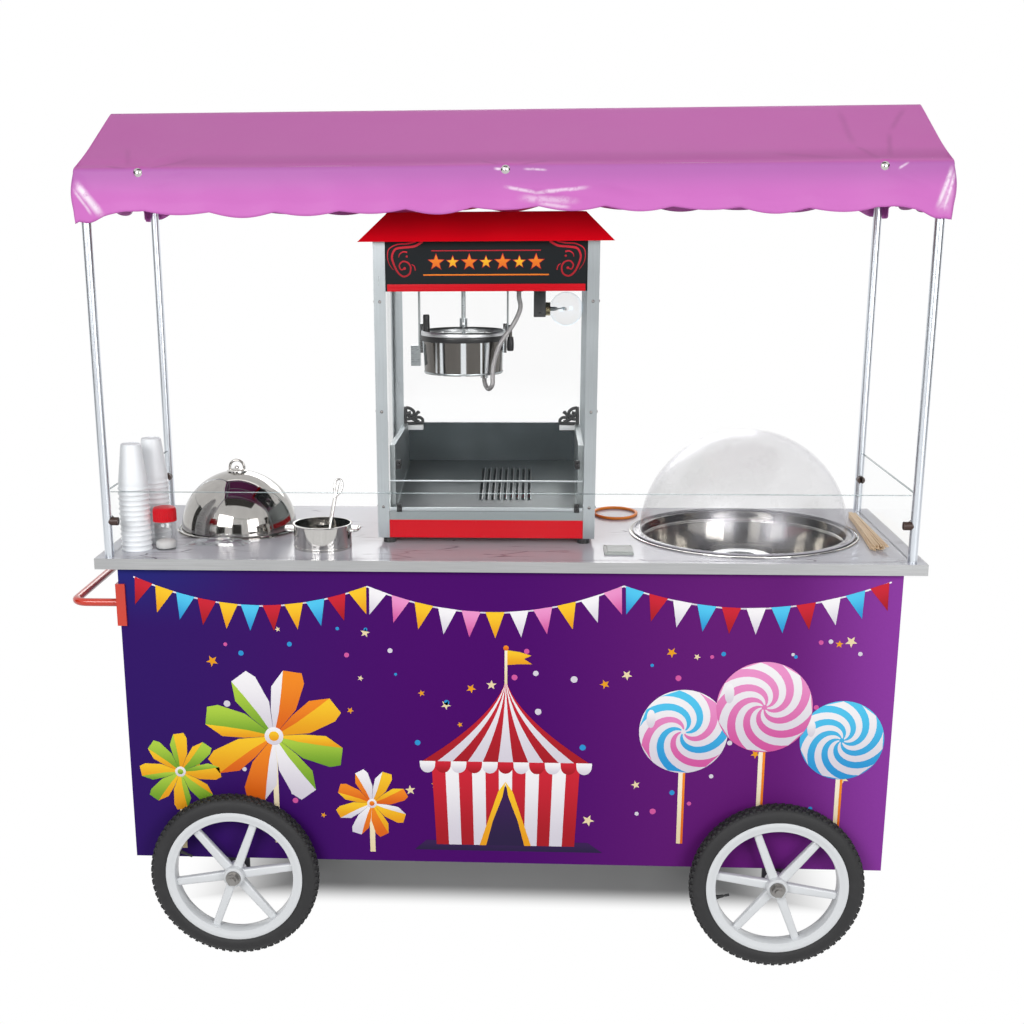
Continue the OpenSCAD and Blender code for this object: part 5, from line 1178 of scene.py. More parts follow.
# Candy machine: beads round the dome and the bowl, and bands on the spinner
bowl_place = Matrix.Translation(BOWL)
bead_profile = [(0.2500, 0.0032), (0.2535, 0.0034), (0.2550, 0.0050), (0.2535, 0.0068),
                (0.2500, 0.0070)]
clear_bead = moulded("clear_bead", (0.42, 0.41, 0.46), 0.15)
turned("dome_bead", bead_profile, 128, bowl_place, clear_bead, "candy_dome", 50)
bm = bmesh.new()
for z in (-0.018, -0.022):
    lathe(bm, [(0.2338, z + 0.0020), (0.2328, z + 0.0012), (0.2325, z), (0.2328, z - 0.0012),
               (0.2338, z - 0.0020)], 128, bowl_place)
lathe(bm, [(0.2620, 0.0), (0.2630, 0.0004), (0.2634, 0.0016), (0.2626, 0.0030), (0.2600, 0.0034)],
      128, bowl_place)
finished("bowl_beads", bm, bright_steel, "cart", 50)
bm = bmesh.new()
for k in range(5):
    z = -0.066 - k * 0.0085
    lathe(bm, [(0.0702, z + 0.0016), (0.0712, z), (0.0702, z - 0.0016)], 64, bowl_place)
lathe(bm, [(0.0350, -0.0550), (0.0352, -0.0535), (0.0375, -0.0528), (0.0660, -0.0528),
           (0.0690, -0.0535), (0.0700, -0.0552)], 64, bowl_place)
finished("spinner_bands", bm, satin_metal, "spinner", 40)

# Popcorn machine's kettle: gasket, lid band, half cover, rivets and grips
kettle_place = Matrix.Translation(KETTLE)
gasket_profile = [(0.0962, -0.0292), (0.0984, -0.0290), (0.0994, -0.0274), (0.0994, -0.0190),
                  (0.0986, -0.0166), (0.0962, -0.0164)]
turned("kettle_gasket", gasket_profile, 72, kettle_place, black_plastic, "kettle",
       40)
band_profile = [(0.0962, -0.0164), (0.0990, -0.0164), (0.0994, -0.0130), (0.0984, -0.0080),
                (0.0968, -0.0066), (0.0962, -0.0072)]
turned("kettle_lid_band", band_profile, 72, kettle_place, satin_metal, "kettle",
       40)
COVER_RADIUS, COVER_LOW, COVER_TOP = 0.0955, -0.0179, -0.0166
bm = bmesh.new()
cover = [(COVER_RADIUS * math.cos(a), COVER_RADIUS * math.sin(a))
         for a in (math.pi + math.pi * i / 40 for i in range(41))]
cover += [(COVER_RADIUS, 0.0095), (-COVER_RADIUS, 0.0095)]
prism(bm, cover, COVER_LOW, COVER_TOP, kettle_place)
hem_line = [KETTLE + Vector((0.0940 * math.cos(a), 0.0940 * math.sin(a), COVER_TOP)) for a in
            (math.pi * 1.03 + math.pi * 0.94 * i / 24 for i in range(25))]
tube(bm, smooth_line(hem_line, 2), 0.0014, 8)
finished("kettle_half_cover", bm, lid_steel, "kettle", 40)
bm = bmesh.new()
lathe(bm, [(0.0905, -0.1034), (0.0920, -0.1026), (0.0925, -0.1008), (0.0919, -0.0990)], 72,
      kettle_place)
for x, y in ((-0.060, -0.020), (0.060, -0.020), (0.0, -0.075), (-0.040, -0.060), (0.040, -0.060)):
    pan_screw(bm, KETTLE + Vector((x, y, -0.0168)), (0, 0, 1), 0.0040)
finished("kettle_rim_and_rivets", bm, sheet_steel, "kettle", 40)
bm = bmesh.new()
grip_place = Matrix.Translation(KETTLE + Vector((0.1088, 0, 0)))
lathe(bm, [(0.0068, -0.0545), (0.0078, -0.0520), (0.0084, -0.0440), (0.0080, -0.0330),
           (0.0072, -0.0270), (0.0060, -0.0258), (0.0046, -0.0256)], 24, grip_place)
grip_place = Matrix.Translation(KETTLE + Vector((-0.085, -0.020, 0)))
lathe(bm, [(0.0085, -0.0176), (0.0082, 0.0000), (0.0075, 0.0180), (0.0079, 0.0255),
           (0.0066, 0.0302), (0, 0.0312)], 24, grip_place)
finished("kettle_grip_sleeves", bm, black_plastic, "kettle", 50)

# Popcorn machine's lamp
LAMP = POPPER + Vector((0.117, 0.030, 0.562))
LAMP_FACE = LAMP + Vector((0.0140, 0, -0.053))  # where the socket leaves the holder, along +X
bm = bmesh.new()
block(bm, LAMP + Vector((-0.014, -0.014, -0.071)), LAMP + Vector((0.014, 0.014, -0.0002)), 0.0022)
for z in (-0.062, -0.016):
    pan_screw(bm, LAMP + Vector((0, -0.014, z)), (0, -1, 0), 0.0030)
finished("lamp_holder", bm, motor_coat, "cart", 40)
lamp_turn = at(LAMP_FACE, (1, 0, 0))
socket_ridges = [(0.0150 + (0.0008 if k % 2 else 0.0), 0.0012 * k) for k in range(9)]
socket_profile = [(0, 0.0), *socket_ridges, (0.0142, 0.0106), (0.0128, 0.0106), (0.0128, 0.0040),
                  (0, 0.0040)]
turned("lamp_socket", socket_profile, 36, lamp_turn, brass, "cart", 40)
BULB_RADIUS, BULB_MIDDLE = 0.0388, 0.0472
bulb = [(BULB_RADIUS * math.sin(a), BULB_MIDDLE - BULB_RADIUS * math.cos(a)) for a in
        (math.pi * (0.14 + 0.86 * k / 18) for k in range(18))]
bulb_profile = [(0.0120, 0.0045), (0.0132, 0.0095), *bulb, (0.0, 0.0860)]
lamp_glass = turned("lamp_bulb", bulb_profile, 48, lamp_turn, bulb_glass, "cart", 60)
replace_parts(lamp_glass, "warming_lamp")
bm = bmesh.new()
coil = [LAMP_FACE + Vector((0.044 + 0.0035 * math.sin(6.0 * t), -0.013 + 0.026 * t,
                            0.0030 * math.cos(37.0 * t))) for t in (i / 60 for i in range(61))]
tube(bm, coil, 0.0006, 6)
for y in (-0.013, 0.013):
    knees = ((0.010, 0.3 * y, 0), (0.028, 0.6 * y, 0), (0.044, y, 0.003))
    tube(bm, smooth_line([LAMP_FACE + Vector(p) for p in knees], 5), 0.0009, 6)
lathe(bm, [(0, 0.004), (0.0050, 0.004), (0.0046, 0.022), (0.0030, 0.027), (0, 0.028)], 16,
      lamp_turn)
finished("lamp_wires", bm, sheet_steel, "cart", 60)

# Popcorn machine's front: pane catches, pane edges and screws in the corner profiles
bm = bmesh.new()
for side in (-1, 1):
    for z in (COUNTER + 0.083, COUNTER + 0.182):
        x = POPPER.x + 0.004 + side * 0.2000
        block(bm, (x - 0.006, POPPER_FRONT, z - 0.010),
              (x + 0.006, POPPER_FRONT + 0.006, z + 0.010), 0.0015)
        lathe(bm, [(0, 0.010), (0.0034, 0.0095), (0.0045, 0.0070), (0.0045, 0.0)], 16,
              at((x, POPPER_FRONT + 0.001, z), (0, -1, 0)))
finished("pane_catches", bm, black_plastic, "cart", 40)
PANE_HALF = 0.217
bm = bmesh.new()
for near, far, low, high, bevel in ((0.0030, 0.0072, 0.1427, 0.1458, 0.0008),
                                    (0.0022, 0.0080, 0.0755, 0.0835, 0.0012)):
    block(bm, (POPPER.x - PANE_HALF, POPPER_FRONT + near, COUNTER + low),
          (POPPER.x + PANE_HALF, POPPER_FRONT + far, COUNTER + high), bevel)
finished("front_pane_edges", bm, profile_metal, "cart", 40)
bm = bmesh.new()
for sx in (-1, 1):
    for sy in (-1, 1):
        for z in (COUNTER + 0.085, COUNTER + 0.300, COUNTER + 0.540):
            front, side = (sx * 0.232, sy * 0.200), (sx * 0.245, sy * 0.187)
            pan_screw(bm, (POPPER.x + front[0], POPPER.y + front[1], z), (0, sy, 0), 0.0036)
            pan_screw(bm, (POPPER.x + side[0], POPPER.y + side[1], z), (sx, 0, 0), 0.0036)
finished("profile_screws", bm, zinc, "cart", 40)


# Cast corner brackets with open scrollwork beside the tray
def bracket_scroll(bm, foot, side):
    p = Vector(foot)

    def run(points, r):
        tube(bm, smooth_line([p + Vector((side * x, 0, z)) for x, z in points], 6), r, 8)

    run([(0, 0), (0, 0.022), (0.001, 0.043)], 0.0044)
    run([(0, 0.002), (0.018, 0.002), (0.044, 0.003)], 0.0042)
    run([(0.001, 0.041), (0.013, 0.038), (0.021, 0.030), (0.019, 0.022), (0.010, 0.021),
         (0.008, 0.027), (0.014, 0.029)], 0.0040)
    run([(0.043, 0.004), (0.042, 0.012), (0.034, 0.017), (0.024, 0.014), (0.024, 0.008),
         (0.031, 0.008)], 0.0038)
    run([(0.003, 0.012), (0.013, 0.013), (0.025, 0.021), (0.031, 0.030), (0.034, 0.026)], 0.0036)
    run([(0.002, 0.030), (0.008, 0.020), (0.018, 0.012), (0.034, 0.006)], 0.0040)


bm = bmesh.new()
for side in (-1, 1):
    bracket_scroll(bm, (POPPER.x - side * 0.2125, POPPER.y + 0.1700, COUNTER + 0.2200), side)
finished("scroll_brackets", bm, black_plastic, "cart", 60)
bm = bmesh.new()
for side in (-1, 1):
    x = POPPER.x - side * 0.2165
    low, high = sorted((x, x + side * 0.048))
    block(bm, (low, POPPER.y + 0.1650, COUNTER + 0.2060),
          (high, POPPER.y + 0.1846, COUNTER + 0.2170), 0.0014)
finished("bracket_bars", bm, bar_white, "cart", 40)

# Popcorn machine's head: red strip under the black sign, and the sign's screws
SIGN_HALF = 0.2150
bm = bmesh.new()
for near, far, high in ((0.0036, 0.002, 0.0155), (0.0048, 0.001, 0.0058)):
    block(bm, (POPPER.x - SIGN_HALF, SIGN_Y - near, HEAD_Z),
          (POPPER.x + SIGN_HALF, SIGN_Y + far, HEAD_Z + high), 0.0012)
finished("sign_strip", bm, red_coat, "cart", 40)
bm = bmesh.new()
for x in (-0.226, 0.226):
    for z in (0.022, 0.096):
        pan_screw(bm, (POPPER.x + x, SIGN_Y, HEAD_Z + z), (0, -1, 0), 0.0030)
finished("sign_screws", bm, zinc, "cart", 40)

# Raised lips beside the crumb slots of the sloping sieve
SIEVE_FRONT, SIEVE_DEPTH, SIEVE_LOW, SIEVE_RISE = -0.180, 0.367, 0.0793, 0.049
bm = bmesh.new()
for i in range(9):
    x = POPPER.x + 0.040 + (i - 4) * 0.014 + 0.0040
    lip = []
    for y in (-0.120, 0.0, 0.120):
        rise = SIEVE_RISE * (y - SIEVE_FRONT) / SIEVE_DEPTH
        lip.append(Vector((x, POPPER.y + y, COUNTER + SIEVE_LOW + rise)))
    tube(bm, lip, 0.0012, 6)
finished("sieve_lips", bm, edge_metal, "cart", 40)

# Polished top edges of the glass guards
GUARD_TOP, GUARD_EDGE = COUNTER + 0.145, 0.0014
bm = bmesh.new()
block(bm, (MID - 0.8580, -0.2825, GUARD_TOP), (MID + 0.8580, -0.2775, GUARD_TOP + GUARD_EDGE),
      0.0004)
for x in (MID - 0.870, MID + 0.870):
    block(bm, (x - 0.0025, -0.2680, GUARD_TOP), (x + 0.0025, 0.2680, GUARD_TOP + GUARD_EDGE),
          0.0004)
finished("guard_edges", bm, glass_edge, "cart", 40)

# Bolts on the handle brackets
HANDLE_Z, BOLT_GAP = 0.826, 0.034
bolt_profile = [(0, 0.0052), (0.0040, 0.0048), (0.0062, 0.0030), (0.0066, 0.0)]
bm = bmesh.new()
for y in (-0.263, 0.263):
    for z in (HANDLE_Z - BOLT_GAP, HANDLE_Z + BOLT_GAP):
        lathe(bm, bolt_profile, 18, at((MID - 0.861, y, z), (-1, 0, 0)))
finished("bracket_bolts", bm, zinc, "cart", 40)

# Printed front: festive motifs in thin film, each layer a little proud of the one below
FILM_BACK, FILM_STEP = 0.00004, 0.00020  # steps of the back and the face from layer to layer
FILM_FACE = 0.00010  # added to every face
FILM_TONES = {  # at a motif's foot and at its top
    "yellow": ((0.80, 0.33, 0.008), (0.93, 0.56, 0.020)),
    "orange": ((0.70, 0.120, 0.006), (0.88, 0.250, 0.012)),
    "lime": ((0.150, 0.330, 0.020), (0.42, 0.62, 0.055)),
    "white": ((0.66, 0.62, 0.70), (0.90, 0.88, 0.90)),
    "cream": ((0.80, 0.66, 0.40), (0.92, 0.84, 0.66)),
    "red": ((0.36, 0.004, 0.012), (0.58, 0.012, 0.030)),
    "pink": ((0.62, 0.090, 0.330), (0.82, 0.290, 0.580)),
    "cyan": ((0.020, 0.280, 0.620), (0.080, 0.560, 0.850)),
    "shadow": ((0.012, 0.002, 0.040), (0.030, 0.004, 0.070)),
}
film = {tint: vinyl("film_" + tint, *tones) for tint, tones in FILM_TONES.items()}
TINTS = list(film)


def oval(x, y, rx, ry, steps):
    return [(x + rx * math.cos(a), y + ry * math.sin(a))
            for a in (2 * math.pi * i / steps for i in range(steps))]


class Print:
    """Film motifs on an upright face, drawn in metres across and up."""

    def __init__(self, origin, slot="front_print"):
        self.origin = Vector(origin)
        self.slot = slot
        self.bm = bmesh.new()
        self.rise = self.bm.verts.layers.float.new("rise")

    def shape(self, points, tint, layer=1, low=None, high=None):
        first = len(self.bm.verts)
        place = Matrix.Translation(self.origin) @ UPRIGHT
        area = sum(a[0] * b[1] - b[0] * a[1] for a, b in zip(points, points[1:] + points[:1]))
        outline = points if area > 0 else points[::-1]
        prism(self.bm, outline, FILM_BACK * layer, FILM_STEP * layer + FILM_FACE, place,
              TINTS.index(tint))
        self.bm.verts.ensure_lookup_table()
        heights = [p[1] for p in points]
        low = min(heights) if low is None else low
        high = max(heights) if high is None else high
        for v in self.bm.verts[first:]:
            v[self.rise] = (v.co.z - self.origin.z - low) / max(high - low, 1e-6)

    def ribbon(self, line, widths, tint, layer=1):
        """Band along a line, cut into short closed pieces so that tight curls stay flat."""
        left, right = [], []
        for i, (x, y) in enumerate(line):
            a, b = line[max(0, i - 1)], line[min(len(line) - 1, i + 1)]
            run = Vector((b[0] - a[0], b[1] - a[1]))
            side = Vector((-run.y, run.x)).normalized() * widths[i] / 2
            left.append((x + side.x, y + side.y))
            right.append((x - side.x, y - side.y))
        low, high = min(p[1] for p in line), max(p[1] for p in line)
        for i in range(len(line) - 1):
            self.shape([right[i], right[i + 1], left[i + 1], left[i]], tint, layer, low, high)

    def disc(self, x, y, r, tint, layer, steps):
        self.shape(oval(x, y, r, r, steps), tint, layer)

    def done(self, name):
        return finished(name, self.bm, [film[t] for t in TINTS], "cart", merge=0)


def star_points(x, y, r):
    """Star with five points, the first one up."""
    reach = [(r if i % 2 == 0 else 0.42 * r, math.pi * i / 5) for i in range(10)]
    return [(x + k * math.sin(a), y + k * math.cos(a)) for k, a in reach]


def pinwheel(art, x, y, r, tints, turn, stick):
    layer, count = 3, 8
    art.shape([(x - 0.006, y - stick), (x + 0.006, y - stick), (x + 0.006, y), (x - 0.006, y)],
              "cream", layer - 1)
    for k in range(count):
        a = turn + 2 * math.pi * k / count

        def polar(share, ahead):
            return (x + r * share * math.cos(a + ahead), y + r * share * math.sin(a + ahead))

        blade = [(x, y), polar(0.50, -0.10), polar(0.88, 0.06), polar(1.0, 0.16), polar(0.96, 0.42),
                 polar(0.72, 0.60), polar(0.40, 0.66)]
        fold = [(x, y), polar(0.40, 0.66), polar(0.72, 0.60), polar(0.96, 0.42), polar(0.70, 0.40),
                polar(0.36, 0.36)]
        art.shape(blade, tints[k % len(tints)], layer)
        art.shape(fold, tints[(k + 1) % len(tints)], layer + 1)
    art.disc(x, y, r * 0.13, "white", layer + 2, 32)
    art.disc(x, y, r * 0.07, tints[0], layer + 3, 24)


def lollipop(art, x, y, r, tints, turn, stick, layer=3):
    neck = y - 0.96 * r
    art.shape([(x - 0.007, y - stick), (x + 0.007, y - stick), (x + 0.0075, neck),
               (x - 0.0075, neck)], "cream", layer - 2)
    art.shape([(x + 0.002, y - stick), (x + 0.007, y - stick), (x + 0.0075, neck),
               (x + 0.002, neck)], "orange", layer - 1)
    art.disc(x, y, r, tints[0], layer, 72)
    arms = 7
    for k in range(arms):
        start = turn + 2 * math.pi * k / arms
        wide = math.pi / arms

        def edge(share, ahead):
            a = start + ahead + 2.3 * share
            return (x + r * share * math.cos(a), y + r * share * math.sin(a))

        tint = tints[1 + k % (len(tints) - 1)]
        steps = [0.06 + 0.935 * i / 16 for i in range(17)]
        for near, far in zip(steps, steps[1:]):
            art.shape([edge(near, 0), edge(far, 0), edge(far, wide), edge(near, wide)], tint,
                      layer + 1, y - r, y + r)
    art.shape(oval(x - 0.74 * r, y + 0.30 * r, 0.10 * r, 0.22 * r, 20), "white", layer + 2)


def big_tent(art, x, foot, wide, wall, peak):
    layer, stripes = 3, 11
    eave, top = foot + wall, foot + wall + peak
    art.shape([(x - 0.62 * wide, foot - 0.014), (x + 0.66 * wide, foot - 0.014),
               (x + 0.56 * wide, foot + 0.010), (x - 0.54 * wide, foot + 0.010)], "shadow",
              layer - 1)
    for k in range(stripes):
        a, b = k / stripes - 0.5, (k + 1) / stripes - 0.5
        tint = "red" if k % 2 == 0 else "white"
        art.shape([(x + 0.94 * wide * a, foot), (x + 0.94 * wide * b, foot), (x + wide * b, eave),
                   (x + wide * a, eave)], tint, layer)

        def roof(share, s):
            flare = 0.16 * (1 - share) + 0.84 * (1 - share) ** 1.7
            return (x + 1.16 * wide * s * max(flare, 0.004), eave + peak * share)

        steps = [i / 12 for i in range(13)]
        for low, high in zip(steps, steps[1:]):
            art.shape([roof(low, a), roof(low, b), roof(high, b), roof(high, a)], tint, layer + 1,
                      eave, top)
        c, half = 1.16 * wide * (a + b) / 2, 1.16 * wide / stripes / 2
        arc = [(x + c + half * math.cos(t), eave - 0.024 * abs(math.sin(t)) ** 0.8)
               for t in (math.pi + math.pi * i / 10 for i in range(11))]
        lobe = [(x + c - half, eave + 0.004), *arc, (x + c + half, eave + 0.004)]
        art.shape(lobe, "white" if k % 2 == 0 else "red", layer + 2)
    door = [(x - 0.13 * wide, foot), (x + 0.13 * wide, foot), (x + 0.10 * wide, foot + 0.30 * wall),
            (x + 0.03 * wide, foot + 0.62 * wall), (x, foot + 0.74 * wall),
            (x - 0.03 * wide, foot + 0.62 * wall), (x - 0.10 * wide, foot + 0.30 * wall)]
    art.shape(door, "shadow", layer + 2)
    for side in (-1, 1):
        art.shape([(x + side * 0.13 * wide, foot), (x + side * 0.175 * wide, foot),
                   (x + side * 0.05 * wide, foot + 0.66 * wall), (x, foot + 0.78 * wall),
                   (x + side * 0.02 * wide, foot + 0.60 * wall),
                   (x + side * 0.085 * wide, foot + 0.30 * wall)], "yellow", layer + 3)
    art.shape([(x - 0.003, top - 0.01), (x + 0.003, top - 0.01), (x + 0.003, top + 0.070),
               (x - 0.003, top + 0.070)], "cream", layer + 2)
    flag = [(x + 0.003, top + 0.068), (x + 0.030, top + 0.064), (x + 0.056, top + 0.056),
            (x + 0.040, top + 0.048), (x + 0.058, top + 0.036), (x + 0.030, top + 0.036),
            (x + 0.003, top + 0.034)]
    art.shape(flag, "yellow", layer + 2)
    art.disc(x, top + 0.073, 0.006, "orange", layer + 3, 20)


art = Print((MID, FRONT, 0.0))
pinwheel(art, -0.520, 0.520, 0.165, ["yellow", "orange", "white", "lime"], 0.2, 0.262)
pinwheel(art, -0.740, 0.430, 0.095, ["lime", "yellow"], 0.5, 0.190)
pinwheel(art, -0.300, 0.360, 0.085, ["orange", "yellow", "white"], 0.05, 0.120)
art.done("pinwheel_film")
art = Print((MID, FRONT, 0.0))
big_tent(art, 0.005, 0.262, 0.335, 0.200, 0.200)
art.done("tent_film")
art = Print((MID, FRONT, 0.0))
lollipop(art, 0.400, 0.545, 0.098, ["white", "cyan", "pink"], 0.3, 0.270)
lollipop(art, 0.575, 0.605, 0.105, ["pink", "white"], 1.2, 0.310, 7)
lollipop(art, 0.748, 0.530, 0.092, ["cyan", "white"], 2.0, 0.240)
art.done("lollipop_film")

# Bunting: strings with pennants that follow them
swag = Recipe("bunting", Line="Object", Count="Int", Pennant="Object", A="Material", B="Material",
              C="Material")
string = swag.node("GeometryNodeObjectInfo", None, {"Object": swag.size("Line")}, "Geometry")
curve = swag.node("GeometryNodeMeshToCurve", None, {0: string})
spots = swag.node("GeometryNodeCurveToPoints", {"mode": "COUNT"},
                  {0: curve, "Count": swag.size("Count")})
run = spots.node.outputs["Tangent"]
facing = swag.node("FunctionNodeAlignRotationToVector", {"axis": "X"}, {"Vector": run})
flagged = swag.node("GeometryNodeObjectInfo", None, {"Object": swag.size("Pennant")}, "Geometry")
which = swag.sum("MODULO", swag.node("GeometryNodeInputIndex"), 3.0)
groups = []
for k, finish in enumerate(("A", "B", "C")):
    mine = swag.node("FunctionNodeCompare", {"data_type": "FLOAT", "operation": "EQUAL"},
                     {0: which, 1: float(k), "Epsilon": 0.1})
    hung = swag.node("GeometryNodeInstanceOnPoints", None,
                     {"Points": spots, "Selection": mine, "Instance": flagged, "Rotation": facing})
    groups.append(swag.dressed(hung, finish))
swag.end(*groups)
small = bmesh.new()
level = small.verts.layers.float.new("rise")
pennant_outline = [(-0.021, 0.002), (0.0, -0.058), (0.021, 0.002)]
prism(small, pennant_outline, 0.0003, 0.0007, UPRIGHT)
for v in small.verts:
    v[level] = 1.0 if v.co.z > -0.03 else 0.0
pennant = pattern("pennant", small)
strings = Print((MID, FRONT, 0.0))
SWAGS = (  # ends across, dip, height of both ends, and the pennants' tints
    (-0.82, -0.30, 0.055, 0.890, 0.872, ("red", "yellow", "cyan")),
    (-0.30, 0.26, 0.060, 0.872, 0.878, ("white", "pink", "yellow")),
    (0.26, 0.83, 0.055, 0.878, 0.892, ("cyan", "red", "white")),
)
for n, (a, b, dip, high, low, tints) in enumerate(SWAGS):
    line = [(a + (b - a) * k, high + (low - high) * k - 4 * dip * k * (1 - k))
            for k in (i / 24 for i in range(25))]
    strings.ribbon(line, [0.0034] * len(line), "white", 2)
    path = bmesh.new()
    ends = [path.verts.new((MID + x, FRONT, z)) for x, z in line[1:-1]]
    for p, q in zip(ends, ends[1:]):
        path.edges.new((p, q))
    guide = bpy.data.objects.new("string_line", plain_mesh("string_line", path))
    made = swag.mesh("bunting_%d" % n, None, Line=guide, Count=11, Pennant=pennant,
                     **{socket: film[tint] for socket, tint in zip("ABC", tints)})
    placed("bunting_%d" % n, made, "cart")
strings.done("bunting_strings")

# Confetti: seeded dots and stars behind the motifs
BIT_LOW, BIT_HIGH = 0.00005, 0.00022  # back and face of a bit of film
toss = Recipe("confetti", Width="Float", Height="Float", Amount="Float", Seed="Int", Bit="Object",
              Tint="Material")
field = toss.node("GeometryNodeMeshGrid", None, {
    "Size X": toss.size("Width"), "Size Y": toss.size("Height"), "Vertices X": 2, "Vertices Y": 2})
dots = toss.node("GeometryNodeDistributePointsOnFaces", {"distribute_method": "POISSON"},
                 {0: field, "Distance Min": 0.055, "Density Max": toss.size("Amount"),
                  "Seed": toss.size("Seed")})
bit = toss.node("GeometryNodeObjectInfo", None, {"Object": toss.size("Bit")}, "Geometry")
spin = toss.node("FunctionNodeRandomValue", {"data_type": "FLOAT"},
                 {2: 0.0, 3: 6.28, "Seed": toss.size("Seed")}, 1)
grow = toss.node("FunctionNodeRandomValue", {"data_type": "FLOAT"},
                 {2: 0.55, 3: 1.25, "Seed": toss.sum("ADD", toss.size("Seed"), 5)}, 1)
tossed = toss.node("GeometryNodeInstanceOnPoints", None, {
    "Points": dots, "Instance": bit, "Rotation": toss.node("ShaderNodeCombineXYZ", None, {2: spin}),
    "Scale": toss.node("ShaderNodeCombineXYZ", None, {0: grow, 1: grow, 2: 1.0})})
toss.end(toss.dressed(tossed, "Tint"))
small = bmesh.new()
small.verts.layers.float.new("rise")
prism(small, star_points(0, 0, 0.012), BIT_LOW, BIT_HIGH)
star_bit = pattern("star_bit", small)
small = bmesh.new()
small.verts.layers.float.new("rise")
prism(small, oval(0, 0, 0.0062, 0.0062, 14), BIT_LOW, BIT_HIGH)
dot_bit = pattern("dot_bit", small)
confetti_place = Matrix.Translation((MID, FRONT, 0.550)) @ UPRIGHT
TOSSES = ((star_bit, "yellow", 24.0, 3), (star_bit, "cream", 22.0, 11), (dot_bit, "pink", 26.0, 21),
          (dot_bit, "cyan", 26.0, 34), (dot_bit, "white", 30.0, 47))
for n, (bit_shape, tint, amount, seed) in enumerate(TOSSES):
    bits = toss.mesh("confetti_%d" % n, confetti_place, Width=1.60, Height=0.46, Amount=amount,
                     Seed=seed, Bit=bit_shape, Tint=film[tint])
    placed("confetti_%d" % n, bits, "cart")

# Sign on the popcorn machine: scrollwork at both ends and a row of stars
sign = Print((POPPER.x, SIGN_Y, HEAD_Z + 0.0595), slot="popper_black")
# Strokes of the scrollwork: points, width at both ends, and layer
SIGN_STROKES = (
    ([(0.137, 0.0455), (0.155, 0.036), (0.179, 0.0335), (0.196, 0.030), (0.2035, 0.016),
      (0.2010, 0.001), (0.1915, -0.0185), (0.1790, -0.0275), (0.1665, -0.0225), (0.1632, -0.009),
      (0.1690, 0.0015), (0.1808, 0.004), (0.1880, -0.004), (0.1843, -0.0130), (0.1775, -0.0112)],
     0.0050, 0.0026, 2),
    ([(0.152, 0.0455), (0.171, 0.0415), (0.192, 0.0400), (0.2095, 0.031), (0.2135, 0.016),
      (0.2105, 0.000), (0.2010, -0.0140)], 0.0034, 0.0012, 3),
    ([(0.1705, 0.0235), (0.1790, 0.0245), (0.1870, 0.0195), (0.1890, 0.0125)], 0.0034, 0.0014, 4),
    ([(0.1530, -0.0150), (0.1555, -0.0060), (0.1610, -0.0020)], 0.0030, 0.0012, 4),
)


def scroll_end(art, side):
    """Strokes that sweep out from the top edge and curl in at the foot, with two dots."""
    for points, first, last, layer in SIGN_STROKES:
        line = [(side * q.x, q.y) for q in smooth_line([Vector((x, y, 0)) for x, y in points], 6)]
        widths = [first + (last - first) * i / (len(line) - 1) for i in range(len(line))]
        art.ribbon(line, widths, "red", layer)
    art.disc(side * 0.1765, -0.0108, 0.0030, "red", 5, 16)
    art.disc(side * 0.1715, 0.0145, 0.0024, "red", 5, 16)


for side in (-1, 1):
    scroll_end(sign, side)
for k in range(7):
    x = -0.108 + 0.036 * k
    r = 0.0165 if k % 2 == 0 else 0.0125
    sign.shape(star_points(x, 0.002, r + 0.0030), "red", 2)
    sign.shape(star_points(x, 0.002, r), "orange" if k % 2 == 0 else "yellow", 3, -0.020, 0.022)
sign.shape([(-0.136, -0.0262), (0.136, -0.0262), (0.136, -0.0232), (-0.136, -0.0232)], "orange", 2)
sign.shape([(-0.118, 0.0252), (0.118, 0.0252), (0.118, 0.0274), (-0.118, 0.0274)], "red", 2)
sign.done("sign_film")

# Studio: pale floor, soft light, and a white background for camera, mirror and glass
FLOOR_HALF, FLOOR_THICK = 14, 0.02
floor_bm = bmesh.new()
block(floor_bm, (-FLOOR_HALF, -FLOOR_HALF, -FLOOR_THICK), (FLOOR_HALF, FLOOR_HALF, 0.0))
floor = finished("floor", floor_bm, [], None)
f = Finish("floor_paint")
fx, fy, _ = f.axes()
f.set(Base_Color=f.mix(f.noise(2.0, 3.0), (0.30, 0.30, 0.30), (0.36, 0.36, 0.36)), Roughness=0.8)
glow = f.node("ShaderNodeEmission", None, {0: (1, 1, 1), 1: f.seen() * 0.6 + 0.4})
# Under and behind the cart the floor is a darker grey that takes the real shadows and deepens them
# as painted shadow; it is white elsewhere
before, behind = fy.ramp(-0.08, 0.05, 1.0, 0.0), fy.ramp(0.35, 0.75)
bright = before.most((fx - 0.05).size().ramp(0.52, 0.86)).most(behind)
shown = f.node("ShaderNodeMixShader", None, {0: bright, 1: Tone(f, f.shader.outputs[0]), 2: glow})
f.put(f.output.inputs[0], shown)
floor.data.materials.append(f.material)

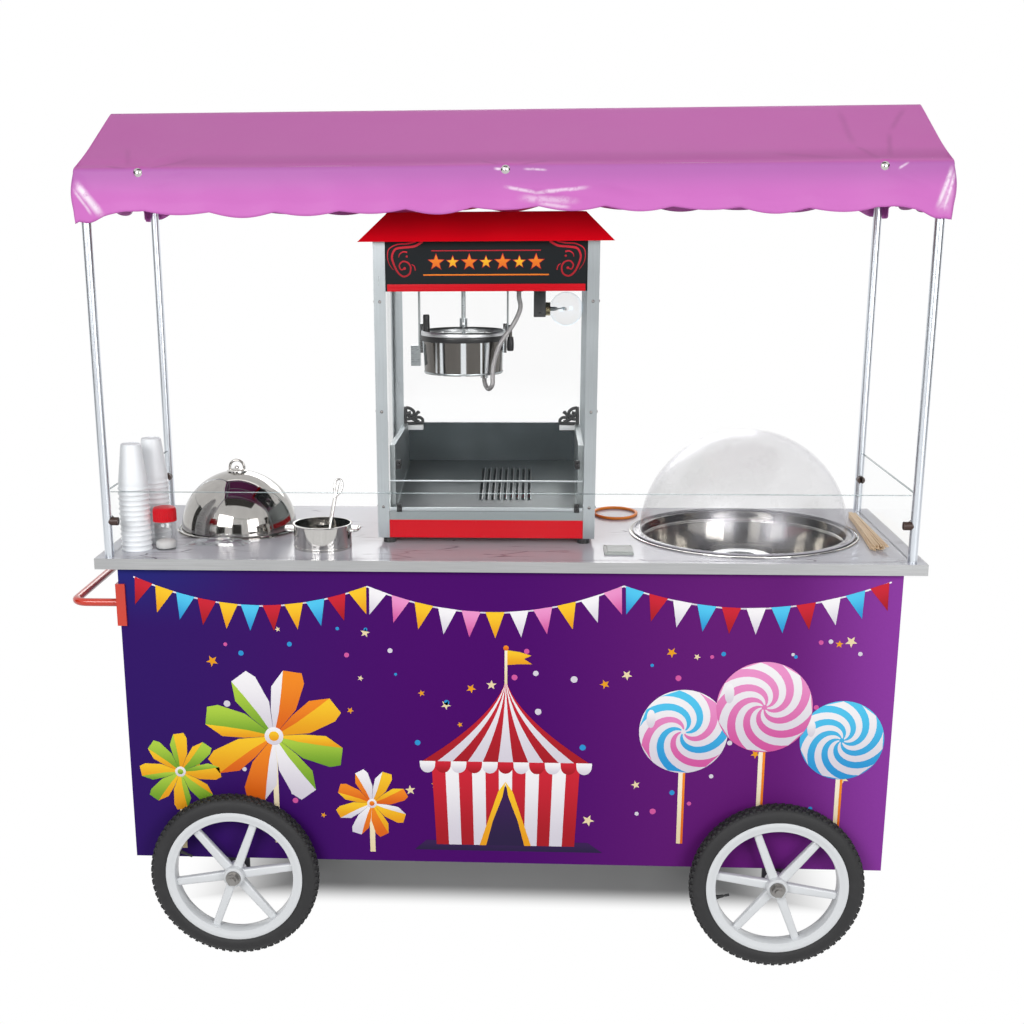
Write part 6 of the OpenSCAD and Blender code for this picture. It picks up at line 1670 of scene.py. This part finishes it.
SKY_LIGHT, SKY_SEEN = 0.36, 1.0  # strength as a light, and as a background
world = bpy.data.worlds.new("studio")
bpy.context.scene.world = world
world.use_nodes = True
sky = Shading(world.node_tree)
level = sky.node("ShaderNodeMapRange", None, {0: sky.seen(), 3: SKY_LIGHT, 4: SKY_SEEN})
background = sky.node("ShaderNodeBackground", None, {0: (1, 1, 1), 1: level})
sky.put(sky.tree.nodes.new("ShaderNodeOutputWorld").inputs[0], background)


def softbox(name, where, size, power):
    lamp = bpy.data.lights.new(name, "AREA")
    lamp.shape = "RECTANGLE"
    lamp.size, lamp.size_y = size
    lamp.energy = power
    holder = bpy.data.objects.new(name, lamp)
    bpy.context.collection.objects.link(holder)
    holder.location = where
    holder.rotation_euler = (LIT_POINT - Vector(where)).to_track_quat("-Z", "Y").to_euler()


LIT_POINT = Vector((0, 0, 1.0))
softbox("key", (-1.8, -3.8, 2.6), (2.2, 1.6), 95)
softbox("fill", (2.4, -3.6, 2.0), (1.8, 2.0), 70)
softbox("top", (0.0, 0.9, 4.2), (3.4, 1.8), 22)
softbox("back", (0.0, 3.6, 2.6), (2.6, 1.6), 40)

# Dark studio boards that only mirrors see
flag_black = moulded("flag_black", (0.035, 0.030, 0.026), 0.8)
FLAGS = {
    "flag_front_left": ((-4.2, -5.3, 0.4), (-2.3, -5.2, 4.0)),
    "flag_front": ((-0.9, -5.6, 0.6), (0.9, -5.5, 2.6)),
    "flag_front_right": ((2.5, -5.3, 0.4), (4.2, -5.2, 4.0)),
    "flag_left": ((-5.3, -2.6, 0.4), (-5.2, 0.6, 3.4)),
    "flag_right": ((5.2, -2.6, 0.4), (5.3, 0.6, 3.4)),
    "flag_top": ((-2.0, -2.6, 4.6), (2.0, -1.2, 4.7)),
}
for name, (low, high) in FLAGS.items():
    made = bmesh.new()
    block(made, low, high)
    board = finished(name, made, flag_black, None)
    for kind in ("camera", "diffuse", "transmission", "shadow", "volume_scatter"):
        setattr(board, "visible_" + kind, False)
